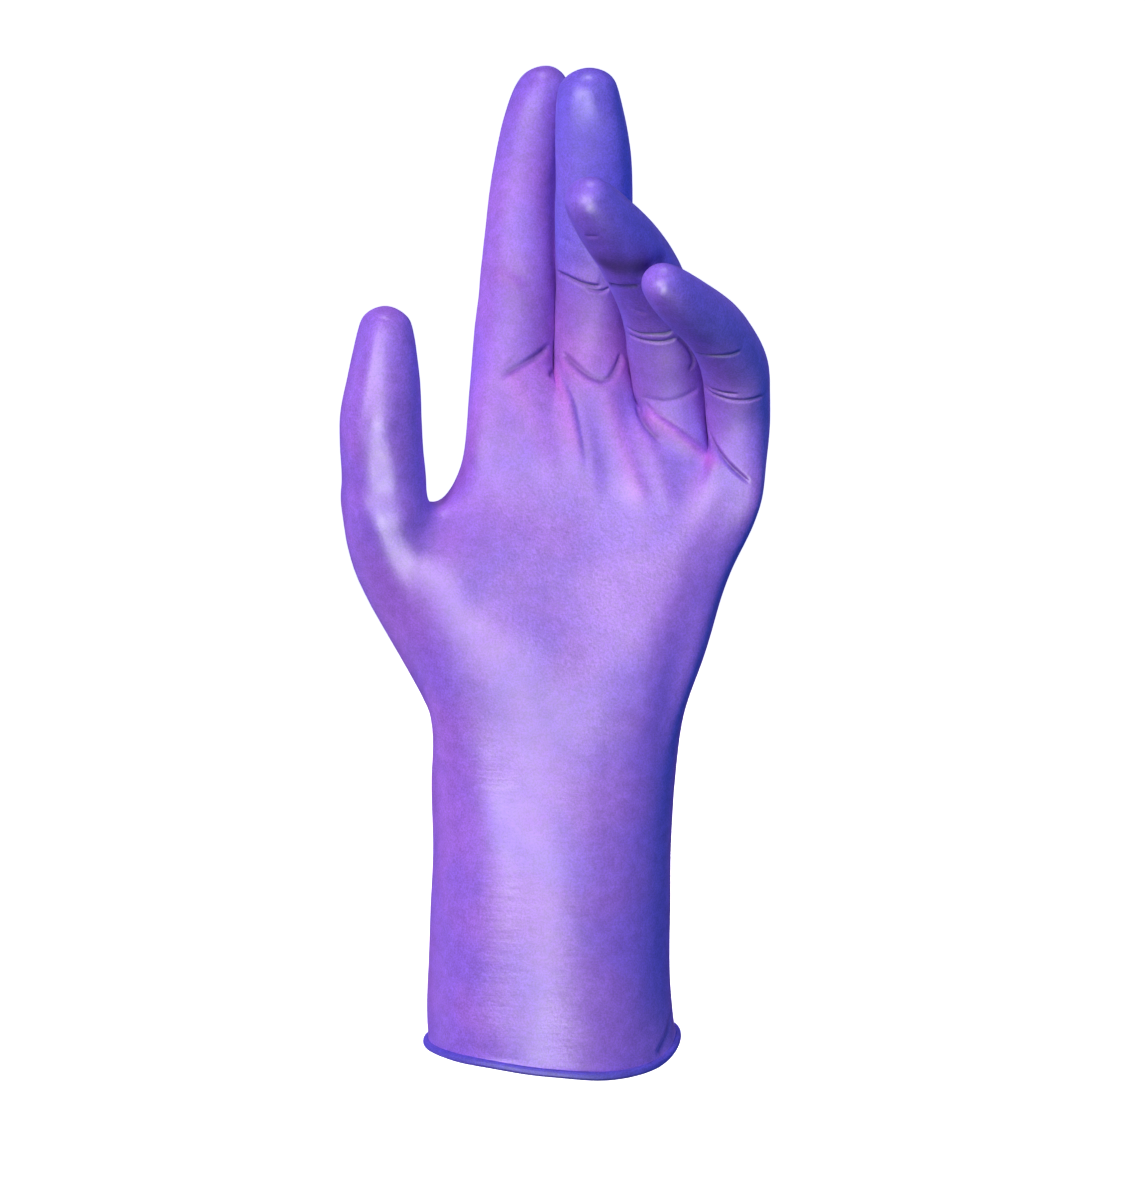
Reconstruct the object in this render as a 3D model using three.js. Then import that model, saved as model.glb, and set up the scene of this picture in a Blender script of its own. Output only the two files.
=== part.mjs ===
// Disposable glove: one dipped film of nitrile rubber with a long cuff and a rolled bead at its edge.
// It keeps the form of the left hand it is worn on, and is hollow from the cuff to every fingertip.
// Millimetres, +Z up the arm. The palm faces -Y and the thumb is on the -X side.
// The origin is the middle of the cuff's opening, where the wrist goes in.

import * as THREE from 'three';

// Driving dimensions of the film and of the bead rolled at its edge
const filmThickness = 1.0;
const beadRadius = 1.2;
const beadOverhang = 0.1;
const beadAngles = [50, -10, -70, -125, -175];

// How often the cage is corrected to lie on the wanted sizes, and how the palm's rows are evened out
const fitRounds = 8;
const relaxRounds = 6;
const relaxShare = 0.5;
const relaxRows = [4, 5, 6, 7, 8];

const filmColour = 0x7a52c7;
const filmRoughness = 0.42;

function table(columns, rows) {
  return rows.map((row) => Object.fromEntries(columns.map((name, i) => [name, row[i]])));
}

// Rings round the cuff and the palm. left and right are the X of the two sides, side is their Y, and
// front and back are how far the palm and the back of the hand stand out from there. cup is how much
// more the little finger's side has in Y than the thumb's. slant is the ring's rise for each millimetre
// along X. fullness is 2 on an ellipse, and more when boxier. fingers is 0 where the points are spread
// evenly round the ring, and 1 where they line up with the fingers.
const sections = table(
  ['name', 'z', 'left', 'right', 'side', 'cup', 'front', 'back', 'slant', 'fullness', 'fingers'],
  [
    ['rim', 2.4, -33.6, 33.4, 0, 0, 28.2, 28.2, 0, 2.1, 0],
    ['cuff low', 20, -33.8, 32, 0, 0, 27.8, 27.8, 0, 2.1, 0],
    ['cuff top', 54, -32.2, 32, 0, 0, 25.8, 25.8, 0, 2.1, 0.1],
    ['wrist', 78, -32.4, 33.4, 0, 0, 22.4, 21.4, 0, 2.2, 0.3],
    ['heel', 94, -33.2, 35.6, -1, -0.4, 20.8, 18.8, 0, 2.3, 0.5],
    ['thenar', 109, -36, 40, -1.6, -1, 18.5, 17.5, -0.04, 2.3, 0.7],
    ['palm low', 125, -42, 44.2, -1.4, -2, 16, 16.5, -0.08, 2.6, 0.85],
    ['palm', 139, -35, 48.6, -1, -3.4, 14, 15, -0.12, 2.9, 0.95],
    ['palm high', 151, -24.6, 53.2, -1, -5, 12.5, 14, -0.18, 3.4, 1],
  ],
);

// How much higher or lower the rim runs round the cuff, in even steps from the thumb's side through
// the front to the little finger's side and round the back
const rimRise = [1.7, 1.9, 1.5, -0.2, -1.5, -0.2, 3.4, 3.6, 2.6, 1.8, 1.5, 1.5];

// Soft swellings and hollows of the palm and the back, as smooth hills with a height and two spreads
const mounds = table(
  ['name', 'face', 'x', 'z', 'spreadX', 'spreadZ', 'height'],
  [
    ['thumb pad', -1, -32, 121, 15, 19, 8],
    ['little finger pad', -1, 34, 112, 12, 24, 4.5],
    ['heel of the palm', -1, -2, 106, 18, 10, 2.4],
    ['palm hollow', -1, 12, 134, 18, 18, -2.5],
    ['index knuckle', 1, -10, 150, 7, 8, 2],
    ['middle knuckle', 1, 10, 152, 7, 8, 2.5],
    ['ring knuckle', 1, 30, 148, 7, 8, 2],
    ['little knuckle', 1, 46, 140, 7, 8, 1],
  ],
);

// Folds and dents of the palm's side, each along three points of the film. spread is how far one
// reaches to either side, and depth is how far it goes in, or stands out as a ridge when below 0.
const folds = table(
  ['name', 'start', 'middle', 'end', 'spread', 'depth'],
  [
    ['index joint', [-16.4, -6.1, 212.1], [-11.1, -8.9, 210], [-5.1, -8.5, 207.4], 3, 1.0],
    ['middle joint', [2.5, -9.9, 209.7], [8.2, -13.4, 207.1], [13.7, -13.2, 206.6], 3, 1.2],
    ['index base, thumb side', [-19.9, -7.5, 181.7], [-13.5, -11, 179.2], [-7.2, -11.6, 176.4], 3, 0.8],
    ['index base', [-12.7, -10.5, 182.9], [-5.4, -9.4, 186.5], [0.1, -2.7, 190.8], 3, 1.0],
    ['middle base', [2.7, -5.6, 188.2], [11.1, -10.6, 182.9], [18.2, -6.1, 189.8], 3, 1.2],
    ['ring base', [22.7, -8.1, 174.1], [27.3, -12.3, 167], [38.9, -12.3, 159.6], 3.4, 1.0],
    ['ring base ridge', [25.8, -10.6, 175], [34.2, -12, 168.3], [42, -13.6, 160.5], 3.2, -1.0],
    ['ring joint', [20.4, -17.3, 194.5], [25.5, -20.1, 193], [31.5, -20.3, 193.3], 3, 1.2],
    ['ring tip joint', [15, -31.3, 207.2], [18.5, -35.6, 207], [22.3, -36.1, 206.8], 3, 1.2],
    ['little base', [40.9, -13.1, 175.9], [42.3, -12.1, 167], [50.3, -15.1, 157.7], 3, 1.0],
    ['little joint', [40.7, -16.3, 179.9], [45.8, -19.3, 177.7], [53.7, -18, 177.2], 3, 1.2],
    ['little tip joint', [37.6, -29.6, 189.7], [42.6, -31, 188.9], [48.6, -29.2, 189.4], 3, 1.1],
    ['thumb joint', [-49.2, -27.6, 169.6], [-42.7, -28, 169.6], [-36.5, -24.4, 169.2], 3.4, 0.8],
    ['palm ridge', [3, -8.2, 182.8], [5.6, -11.4, 175.6], [5.6, -12.5, 165.1], 3.2, -1.3],
    ['palm fan left', [12.9, -11.9, 171.7], [13.2, -12.4, 163.8], [13.7, -12.9, 156], 3.2, -0.6],
    ['palm fan right', [19.5, -11.5, 168], [21.1, -12.6, 161.2], [23.2, -13.6, 153.9], 3.2, -0.7],
    ['palm fan side', [25.5, -12.6, 164.1], [27.3, -13.2, 159.7], [29.4, -13.7, 155], 3.2, -0.5],
  ],
);

// Stations along each finger, from its root to its tip: the middle of the section, its half width,
// and how far the pad and the back stand out from the middle. The last row is the end of the finger.
const stationColumns = ['x', 'y', 'z', 'half', 'pad', 'back'];
const fingers = [
  {
    name: 'index',
    root: { middle: [-11, 0, 178], across: [11.4, 0, 6.5], pad: [0, -12, -5], back: [0, 12, -8] },
    stations: table(stationColumns, [
      [-10.2, 0.5, 190.5, 10.8, 10, 10],
      [-9.2, 0.5, 202.5, 10.2, 9.5, 9.6],
      [-8.9, 0, 211.5, 9.9, 9.1, 9.6],
      [-8.1, 0, 225, 9.0, 8.5, 8.4],
      [-6.9, 0.5, 237, 8.5, 8.1, 7.5],
      [-5.1, 0.5, 247, 8.2, 7.7, 6.9],
      [-2.9, 0, 256, 7.3, 6.7, 6.1],
      [0.2, -0.5, 264, 0, 0, 0],
    ]),
  },
  {
    name: 'middle',
    root: { middle: [11.1, 0.5, 181], across: [9.9, 0, -2], pad: [0, -12, -4], back: [0, 12, -8] },
    stations: table(stationColumns, [
      [10.7, 0, 191, 9.4, 9.6, 10],
      [10.7, -2, 201.5, 9.3, 9.3, 9.6],
      [11.0, -5.5, 211, 9.7, 9.1, 9.6],
      [11.2, -10, 222, 9.9, 9, 8.8],
      [11.1, -14, 233.5, 9.9, 8.9, 8],
      [10.5, -18, 245, 9.5, 8.4, 7.6],
      [9.5, -21.8, 254.7, 8.1, 6.8, 6.4],
      [9.2, -24.5, 262, 0, 0, 0],
    ]),
  },
  {
    name: 'ring',
    root: { middle: [31.5, -0.8, 172], across: [8.6, 0, -4], pad: [0, -11.5, -5], back: [0, 11.5, -8] },
    stations: table(stationColumns, [
      [31.1, -4.5, 181, 9.2, 9.2, 9.6],
      [30, -8.5, 189.5, 9.3, 9, 9.4],
      [28.3, -13, 197.8, 9.6, 8.9, 9.9],
      [26, -20.5, 205, 9.6, 8.7, 9.4],
      [22.3, -29.5, 212.4, 9.3, 8.5, 8.5],
      [18, -37.5, 218.5, 8.8, 8.4, 7.8],
      [14.1, -43.5, 223, 8.0, 7.8, 6.9],
      [10.5, -48.7, 227.3, 6.8, 6.6, 5.9],
      [7, -53.8, 231.8, 0, 0, 0],
    ]),
  },
  {
    name: 'little',
    root: { middle: [48.7, -5, 161], across: [7.5, 0, -4], pad: [0, -10, -4], back: [0, 10.5, -5] },
    stations: table(stationColumns, [
      [49.2, -7.5, 170, 8.3, 8.4, 9],
      [48.8, -10.5, 177.8, 8.5, 8.2, 8.8],
      [47.9, -15, 185, 8.7, 8.1, 9.1],
      [45.2, -21.3, 191, 8.3, 7.9, 8.5],
      [41.2, -28.3, 196.5, 7.9, 7.6, 7.7],
      [36.7, -34.8, 200.6, 7.5, 7.3, 7],
      [32.4, -40.2, 204, 6.9, 6.8, 6.2],
      [28.8, -44.6, 207, 6.0, 5.9, 5.4],
      [25.2, -49, 210.2, 0, 0, 0],
    ]),
  },
];
const thumb = {
  name: 'thumb',
  root: { middle: [-39.6, -8, 137.7], across: [10.1, 1, 11.8], pad: [-2, -16, 1], back: [-3, 14, -1] },
  stations: table(stationColumns, [
    [-43.6, -11.8, 148.5, 11.4, 12.5, 12],
    [-43.9, -14, 156, 11, 11.2, 11],
    [-44.3, -16.5, 163.5, 10.8, 10.3, 10.3],
    [-44.4, -18.7, 172.5, 10.6, 9.8, 10.1],
    [-43.5, -20.4, 182, 9.5, 9.3, 9],
    [-42.8, -21.4, 193.8, 7.5, 7.6, 7],
    [-42.5, -22.3, 201.8, 0, 0, 0],
  ]),
};

// The last ring before the end of a finger: how far on it lies, and its size beside the ring below
const domePlace = 0.66;
const domeSize = 0.74;

// Rows of the cage that the thumb grows out of, and the order of points round every ring: the left
// side, the front from the thumb's side to the little finger's, the right side, and the back again
const thumbRows = { low: 5, middle: 6, high: 7 };
const perFinger = 3;
const acrossHand = perFinger * fingers.length;
const ringSize = 2 * acrossHand + 2;
const leftColumn = 0;
const rightColumn = acrossHand + 1;
const frontColumn = (k) => 1 + k;
const backColumn = (k) => ringSize - 1 - k;

const vector = (list) => new THREE.Vector3(...list);

// Corner of a ring of eight points: 0.71 on an ellipse and 1 on a box
const rootFullness = 0.86;
const fingerFullness = 0.72;

// A ring of eight points: left side, front left, front, front right, right side and round the back
function ringOfEight(middle, across, pad, back, corner) {
  const shares = [
    [-1, 0, 0],
    [-corner, corner, 0],
    [0, 1, 0],
    [corner, corner, 0],
    [1, 0, 0],
    [corner, 0, corner],
    [0, 0, 1],
    [-corner, 0, corner],
  ];
  return shares.map(([sideways, forward, backward]) =>
    middle
      .clone()
      .addScaledVector(across, sideways)
      .addScaledVector(pad, forward)
      .addScaledVector(back, backward),
  );
}

function rootRing(finger) {
  const { middle, across, pad, back } = finger.root;
  return ringOfEight(vector(middle), vector(across), vector(pad), vector(back), rootFullness);
}

// The rings above the root, square to the finger's own line, and the point at its tip
function fingerRings(finger) {
  const middles = [vector(finger.root.middle), ...finger.stations.map((s) => vector([s.x, s.y, s.z]))];
  const rings = [];
  const across = vector(finger.root.across).normalize();
  const along = new THREE.Vector3();
  const addRing = (middle, station, size) => {
    const outward = across.clone().cross(along);
    rings.push(
      ringOfEight(
        middle,
        across.clone().multiplyScalar(station.half * size),
        outward.clone().multiplyScalar(station.pad * size),
        outward.clone().multiplyScalar(-station.back * size),
        fingerFullness,
      ),
    );
  };
  for (let i = 1; i < middles.length - 1; i += 1) {
    along.copy(middles[i + 1]).sub(middles[i - 1]).normalize();
    across.addScaledVector(along, -across.dot(along)).normalize();
    addRing(middles[i], finger.stations[i - 1], 1);
  }
  const [last, tip] = middles.slice(-2);
  const lastStation = finger.stations[finger.stations.length - 2];
  addRing(last.clone().lerp(tip, domePlace), lastStation, domeSize);
  return { rings, tip };
}

const roots = fingers.map(rootRing);
const thumbRoot = rootRing(thumb);

// X of each column of the front and back at the finger roots, from 0 at the left to 1 at the right
function fingerShares() {
  const columns = roots.flatMap((ring) => [ring[1].x, ring[2].x, ring[3].x]);
  const left = roots[0][0].x;
  const right = roots[roots.length - 1][4].x;
  return columns.map((x) => (x - left) / (right - left));
}

function moundHeight(face, x, z) {
  return mounds
    .filter((mound) => mound.face === face)
    .reduce((sum, mound) => {
      const across = (x - mound.x) / mound.spreadX;
      const up = (z - mound.z) / mound.spreadZ;
      return sum + mound.height * Math.exp(-0.5 * (across * across + up * up));
    }, 0);
}

// The rim's own rise at a place round it, smooth between the steps of the list
function rimLift(section, share, face) {
  if (section.name !== 'rim') return 0;
  const turn = face < 0 ? Math.acos(-share) : 2 * Math.PI - Math.acos(-share);
  const count = rimRise.length;
  const steps = (turn / (2 * Math.PI)) * count;
  const first = Math.floor(steps);
  const [a, b, c, d] = [-1, 0, 1, 2].map((k) => rimRise[(first + k + count) % count]);
  const t = steps - first;
  return b + 0.5 * t * (c - a + t * (2 * a - 5 * b + 4 * c - d + t * (3 * (b - c) + d - a)));
}

function sectionRing(section, shares) {
  const middleX = (section.left + section.right) / 2;
  const halfWidth = (section.right - section.left) / 2;
  const place = (share, face, depth) => {
    const reach = Math.abs(share) ** section.fullness;
    const x = middleX + halfWidth * share;
    const side = section.side + section.cup * ((1 + share) / 2) ** 2;
    const flat = side + face * depth * Math.max(0, 1 - reach) ** (1 / section.fullness);
    const z = section.z + section.slant * (x - middleX) + rimLift(section, share, face);
    const swell = depth > 0 ? moundHeight(face, x, z) : 0;
    return new THREE.Vector3(x, flat + face * swell, z);
  };
  const ring = new Array(ringSize);
  ring[leftColumn] = place(-1, -1, 0);
  ring[rightColumn] = place(1, -1, 0);
  for (let k = 0; k < acrossHand; k += 1) {
    const round = Math.cos(Math.PI * (1 - (k + 1) / (acrossHand + 1)));
    const share = THREE.MathUtils.lerp(round, 2 * shares[k] - 1, section.fingers);
    ring[frontColumn(k)] = place(share, -1, section.front);
    ring[backColumn(k)] = place(share, 1, section.back);
  }
  return ring;
}

// The whole surface as a coarse cage of four-sided faces, with the points that it has to pass through
function buildCage() {
  const points = [];
  const quads = [];
  const add = (point) => points.push(point) - 1;
  const shares = fingerShares();
  const rows = sections.map((section) => sectionRing(section, shares).map(add));

  const { low, middle, high } = thumbRows;
  const lastColumn = backColumn(0);
  const thumbLoop = [
    rows[low][leftColumn],
    rows[low][frontColumn(0)],
    rows[middle][frontColumn(0)],
    rows[high][frontColumn(0)],
    rows[high][leftColumn],
    rows[high][lastColumn],
    rows[middle][lastColumn],
    rows[low][lastColumn],
  ];
  thumbLoop.forEach((index, k) => points[index].copy(thumbRoot[k]));

  const top = new Array(ringSize);
  const loops = roots.map((ring, f) => {
    const loop = ring.map(add);
    for (let k = 0; k < perFinger; k += 1) {
      top[frontColumn(perFinger * f + k)] = loop[1 + k];
      top[backColumn(perFinger * f + k)] = loop[7 - k];
    }
    return loop;
  });
  top[leftColumn] = loops[0][0];
  top[rightColumn] = loops[loops.length - 1][4];
  rows.push(top);

  for (let r = 0; r + 1 < rows.length; r += 1) {
    for (let c = 0; c < ringSize; c += 1) {
      const next = (c + 1) % ringSize;
      const underThumb = (r === low || r === middle) && (c === leftColumn || c === lastColumn);
      if (underThumb) continue;
      quads.push([rows[r][c], rows[r][next], rows[r + 1][next], rows[r + 1][c]]);
    }
  }
  for (let f = 0; f + 1 < loops.length; f += 1) {
    const [a, b] = [loops[f], loops[f + 1]];
    quads.push([a[3], b[1], b[0], a[4]], [a[4], b[0], b[7], a[5]]);
  }

  const grow = (finger, loop) => {
    const { rings, tip } = fingerRings(finger);
    let below = loop;
    for (const ring of rings) {
      const above = ring.map(add);
      for (let k = 0; k < 8; k += 1) {
        const next = (k + 1) % 8;
        quads.push([below[k], below[next], above[next], above[k]]);
      }
      below = above;
    }
    const end = add(tip);
    for (let k = 0; k < 8; k += 2) {
      quads.push([below[k], below[k + 1], below[(k + 2) % 8], end]);
    }
  };
  fingers.forEach((finger, f) => grow(finger, loops[f]));
  grow(thumb, thumbLoop);
  const loose = (_, column) => column !== leftColumn && Math.abs(column - rightColumn) > 1;
  relax(points, quads, relaxRows.flatMap((r) => rows[r].filter(loose)));
  return dropUnused({ points, quads });
}

// Evens out the palm and the back of the hand, where the film is stretched smooth between the fingers
function relax(points, quads, soft) {
  const neighbours = new Map(soft.map((i) => [i, new Set()]));
  for (const quad of quads) {
    quad.forEach((a, k) => {
      if (neighbours.has(a)) neighbours.get(a).add(quad[(k + 1) % 4]).add(quad[(k + 3) % 4]);
    });
  }
  const joined = soft.filter((i) => neighbours.get(i).size > 0);
  for (let round = 0; round < relaxRounds; round += 1) {
    const targets = joined.map((i) => average([...neighbours.get(i)].map((j) => points[j])));
    joined.forEach((i, k) => points[i].lerp(targets[k], relaxShare));
  }
}

function dropUnused({ points, quads }) {
  const used = [...new Set(quads.flat())].sort((a, b) => a - b);
  const renumber = new Map(used.map((old, i) => [old, i]));
  return {
    points: used.map((old) => points[old]),
    quads: quads.map((quad) => quad.map((old) => renumber.get(old))),
  };
}

const edgeKey = (a, b) => `${Math.min(a, b)}_${Math.max(a, b)}`;

// Which faces and edges meet at each point of a mesh of four-sided faces
function connect({ points, quads }) {
  const edges = new Map();
  const cornersOf = points.map(() => []);
  quads.forEach((quad, face) => {
    quad.forEach((a, k) => {
      const b = quad[(k + 1) % 4];
      const key = edgeKey(a, b);
      if (!edges.has(key)) edges.set(key, { ends: [a, b], faces: [] });
      edges.get(key).faces.push(face);
      cornersOf[a].push({ face, next: b, across: quad[(k + 2) % 4] });
    });
  });
  const rimEdgesOf = points.map(() => []);
  for (const edge of edges.values()) {
    if (edge.faces.length === 1) edge.ends.forEach((end, i) => rimEdgesOf[end].push(edge.ends[1 - i]));
  }
  return { edges, cornersOf, rimEdgesOf };
}

const average = (list) =>
  list.reduce((sum, p) => sum.add(p), new THREE.Vector3()).divideScalar(list.length);

// Where each point lies on the smooth surface that the cage stands for
function smoothPlaces(mesh, { cornersOf, rimEdgesOf }) {
  return mesh.points.map((point, i) => {
    if (rimEdgesOf[i].length) {
      const [a, b] = rimEdgesOf[i].map((j) => mesh.points[j]);
      return point.clone().multiplyScalar(4).add(a).add(b).divideScalar(6);
    }
    const n = cornersOf[i].length;
    const sum = point.clone().multiplyScalar(n * n);
    for (const corner of cornersOf[i]) {
      sum.addScaledVector(mesh.points[corner.next], 4).add(mesh.points[corner.across]);
    }
    return sum.divideScalar(n * (n + 5));
  });
}

// Moves the cage until its smooth surface passes through the points it was given
function fitCage(cage) {
  const wanted = cage.points.map((p) => p.clone());
  const links = connect(cage);
  for (let round = 0; round < fitRounds; round += 1) {
    const places = smoothPlaces(cage, links);
    cage.points.forEach((p, i) => p.add(wanted[i]).sub(places[i]));
  }
  return cage;
}

// One step of Catmull-Clark subdivision
function subdivide(mesh) {
  const { edges, cornersOf, rimEdgesOf } = connect(mesh);
  const facePoints = mesh.quads.map((quad) => average(quad.map((i) => mesh.points[i])));
  const points = mesh.points.map((point, i) => {
    if (rimEdgesOf[i].length) {
      const [a, b] = rimEdgesOf[i].map((j) => mesh.points[j]);
      return point.clone().multiplyScalar(6).add(a).add(b).divideScalar(8);
    }
    const n = cornersOf[i].length;
    const faces = average(cornersOf[i].map((corner) => facePoints[corner.face]));
    const middles = average(
      cornersOf[i].map((corner) => mesh.points[corner.next].clone().add(point).divideScalar(2)),
    );
    return faces.add(middles.multiplyScalar(2)).addScaledVector(point, n - 3).divideScalar(n);
  });
  const edgeIndex = new Map();
  for (const [key, edge] of edges) {
    const around = edge.ends.map((i) => mesh.points[i]);
    if (edge.faces.length === 2) around.push(...edge.faces.map((face) => facePoints[face]));
    edgeIndex.set(key, points.push(average(around)) - 1);
  }
  const middleOf = (a, b) => edgeIndex.get(edgeKey(a, b));
  const quads = [];
  mesh.quads.forEach((quad, face) => {
    const centre = points.push(facePoints[face]) - 1;
    quad.forEach((corner, k) => {
      const toNext = middleOf(corner, quad[(k + 1) % 4]);
      const toLast = middleOf(quad[(k + 3) % 4], corner);
      quads.push([corner, toNext, centre, toLast]);
    });
  });
  return { points, quads };
}

function pointNormals({ points, quads }) {
  const normals = points.map(() => new THREE.Vector3());
  for (const quad of quads) {
    const [a, b, c, d] = quad.map((i) => points[i]);
    const facing = c.clone().sub(a).cross(d.clone().sub(b));
    quad.forEach((i) => normals[i].add(facing));
  }
  return normals.map((n) => n.normalize());
}

// How deep the folds are at a point of the film
function foldDepth(point) {
  return folds.reduce((sum, fold) => {
    const [start, middle, end] = [fold.start, fold.middle, fold.end].map(vector);
    const lines = [new THREE.Line3(start, middle), new THREE.Line3(middle, end)];
    const away = lines.map((line) =>
      line.closestPointToPoint(point, true, new THREE.Vector3()).distanceTo(point),
    );
    return sum + fold.depth * Math.exp(-((Math.min(...away) / fold.spread) ** 2));
  }, 0);
}

function foldFilm(mesh) {
  const normals = pointNormals(mesh);
  mesh.points.forEach((point, i) => point.addScaledVector(normals[i], -foldDepth(point)));
}

// The points of the open rim, in order round it, so that its faces lie to the left
function rimOrder({ quads }) {
  const after = new Map();
  const seen = new Set();
  for (const quad of quads) quad.forEach((a, k) => seen.add(`${a}_${quad[(k + 1) % 4]}`));
  for (const quad of quads) {
    quad.forEach((a, k) => {
      const b = quad[(k + 1) % 4];
      if (!seen.has(`${b}_${a}`)) after.set(a, b);
    });
  }
  const first = after.keys().next().value;
  const order = [first];
  for (let next = after.get(first); next !== first; next = after.get(next)) {
    order.push(next);
  }
  return order;
}

// Two triangles, parted along the shorter way across
function splitQuad([a, b, c, d], points) {
  const alongAC = points[a].distanceTo(points[c]) < points[b].distanceTo(points[d]);
  return alongAC ? [a, b, c, a, c, d] : [b, c, d, b, d, a];
}

// The film as a closed body: its outside, its inside, and the bead that joins them round the rim
function filmGeometry(outside) {
  const normals = pointNormals(outside);
  const count = outside.points.length;
  const points = [...outside.points];
  outside.points.forEach((p, i) => points.push(p.clone().addScaledVector(normals[i], -filmThickness)));
  const quads = [...outside.quads];
  outside.quads.forEach(([a, b, c, d]) => quads.push([d + count, c + count, b + count, a + count]));

  const rim = rimOrder(outside);
  const columns = rim.map((index) => {
    const outward = normals[index];
    const beadMiddle = points[index]
      .clone()
      .addScaledVector(outward, beadOverhang)
      .add(new THREE.Vector3(0, 0, -beadRadius));
    const turn = beadAngles.map((degrees) => {
      const angle = THREE.MathUtils.degToRad(degrees);
      return points.push(
        beadMiddle
          .clone()
          .addScaledVector(outward, beadRadius * Math.cos(angle))
          .add(new THREE.Vector3(0, 0, beadRadius * Math.sin(angle))),
      ) - 1;
    });
    return [index, ...turn, index + count];
  });
  columns.forEach((column, i) => {
    const next = columns[(i + 1) % columns.length];
    for (let k = 0; k + 1 < column.length; k += 1) {
      quads.push([column[k], column[k + 1], next[k + 1], next[k]]);
    }
  });

  const geometry = new THREE.BufferGeometry();
  geometry.setAttribute('position', new THREE.Float32BufferAttribute(points.flatMap((p) => [...p]), 3));
  geometry.setIndex(quads.flatMap((quad) => splitQuad(quad, points)));
  geometry.computeVertexNormals();
  return geometry;
}

function buildGlove() {
  const fine = subdivide(fitCage(buildCage()));
  fine.points = smoothPlaces(fine, connect(fine));
  foldFilm(fine);
  const material = new THREE.MeshStandardMaterial({
    name: 'nitrile film',
    color: filmColour,
    roughness: filmRoughness,
    metalness: 0,
  });
  const mesh = new THREE.Mesh(filmGeometry(fine), material);
  mesh.name = 'glove';
  return mesh;
}

const group = new THREE.Group();
group.add(buildGlove());

export default group;
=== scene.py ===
# A purple nitrile glove with a long cuff, on a pale stage in soft light.
# The glove is one dipped film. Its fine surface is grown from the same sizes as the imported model's, then
# folded, creased and rolled at the rim.
# Sizes in the tables are millimetres, with +Z from the cuff to the fingertips, the palm facing -Y and
# the thumb on the -X side. MM turns them into Blender's metres where objects are made.

import math

import bpy
import numpy as np
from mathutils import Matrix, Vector, noise
from mathutils.bvhtree import BVHTree


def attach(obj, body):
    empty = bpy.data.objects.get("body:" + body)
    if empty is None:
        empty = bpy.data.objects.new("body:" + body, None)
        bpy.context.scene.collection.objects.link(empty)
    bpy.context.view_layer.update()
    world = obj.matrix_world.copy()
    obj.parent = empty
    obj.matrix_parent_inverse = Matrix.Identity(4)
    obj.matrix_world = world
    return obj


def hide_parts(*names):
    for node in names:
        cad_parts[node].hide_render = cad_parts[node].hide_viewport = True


MM = 0.001


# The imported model

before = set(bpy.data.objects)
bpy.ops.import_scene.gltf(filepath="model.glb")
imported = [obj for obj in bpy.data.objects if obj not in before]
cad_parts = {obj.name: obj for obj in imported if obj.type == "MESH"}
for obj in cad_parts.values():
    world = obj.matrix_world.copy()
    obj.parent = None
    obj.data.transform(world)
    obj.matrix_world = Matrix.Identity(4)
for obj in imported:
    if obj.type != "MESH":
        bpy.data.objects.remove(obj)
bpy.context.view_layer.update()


# Camera, at the photograph's distance and height

CAMERA_AIM = (5.6, 0.0, 123.0)
CAMERA_DISTANCE = 850.0
CAMERA_ELEVATION = math.radians(6.0)
VIEW_HEIGHT = 320.8
SENSOR_WIDTH = 36.0


def eye_place():
    """Where the camera is, in millimetres."""
    back = CAMERA_DISTANCE * math.cos(CAMERA_ELEVATION)
    rise = CAMERA_DISTANCE * math.sin(CAMERA_ELEVATION)
    return Vector(CAMERA_AIM) + Vector((0.0, -back, rise))


def make_camera():
    data = bpy.data.cameras.new("camera")
    data.sensor_fit = "AUTO"
    data.sensor_width = SENSOR_WIDTH
    data.lens = SENSOR_WIDTH * CAMERA_DISTANCE / VIEW_HEIGHT
    data.clip_start = 0.01
    data.clip_end = 50.0
    camera = bpy.data.objects.new("camera", data)
    camera.location = eye_place() * MM
    camera.rotation_euler = (math.pi / 2 - CAMERA_ELEVATION, 0.0, 0.0)
    bpy.context.scene.collection.objects.link(camera)
    bpy.context.scene.camera = camera


# Sizes of the glove

def curve(a, b, c, d, t):
    """A smooth curve that goes from b to c as t goes from 0 to 1, with a before them and d after."""
    return b + 0.5 * t * (c - a + t * (2 * a - 5 * b + 4 * c - d + t * (3 * (b - c) + d - a)))


def table(columns, rows):
    names = columns.split()
    return [dict(zip(names, row)) for row in rows]


# Rings round the cuff and the palm. left and right are the X of the two sides, side is their Y, and
# front and back are how far the palm and the back stand out from there. cup is how much more the
# little finger's side has in Y than the thumb's. slant is the ring's rise for each millimetre
# along X. fullness is 2 on an ellipse, and more when boxier. fingers is 0 where the points are spread
# evenly round the ring, and 1 where they line up with the fingers.
SECTIONS = table("name z left right side cup front back slant fullness fingers", [
    ("rim", 2.4, -33.6, 33.4, 0, 0, 28.2, 28.2, 0, 2.1, 0),
    ("cuff low", 20, -33.8, 32, 0, 0, 27.8, 27.8, 0, 2.1, 0),
    ("cuff top", 54, -32.2, 32, 0, 0, 25.8, 25.8, 0, 2.1, 0.1),
    ("wrist", 78, -32.4, 33.4, 0, 0, 22.4, 21.4, 0, 2.2, 0.3),
    ("heel", 94, -33.2, 35.6, -1, -0.4, 20.8, 18.8, 0, 2.3, 0.5),
    ("thenar", 109, -36, 40, -1.6, -1, 18.5, 17.5, -0.04, 2.3, 0.7),
    ("palm low", 125, -42, 44.2, -1.4, -2, 16, 16.5, -0.08, 2.6, 0.85),
    ("palm", 139, -35, 48.6, -1, -3.4, 14, 15, -0.12, 2.9, 0.95),
    ("palm high", 151, -24.6, 53.2, -1, -5, 12.5, 14, -0.18, 3.4, 1),
])

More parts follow.
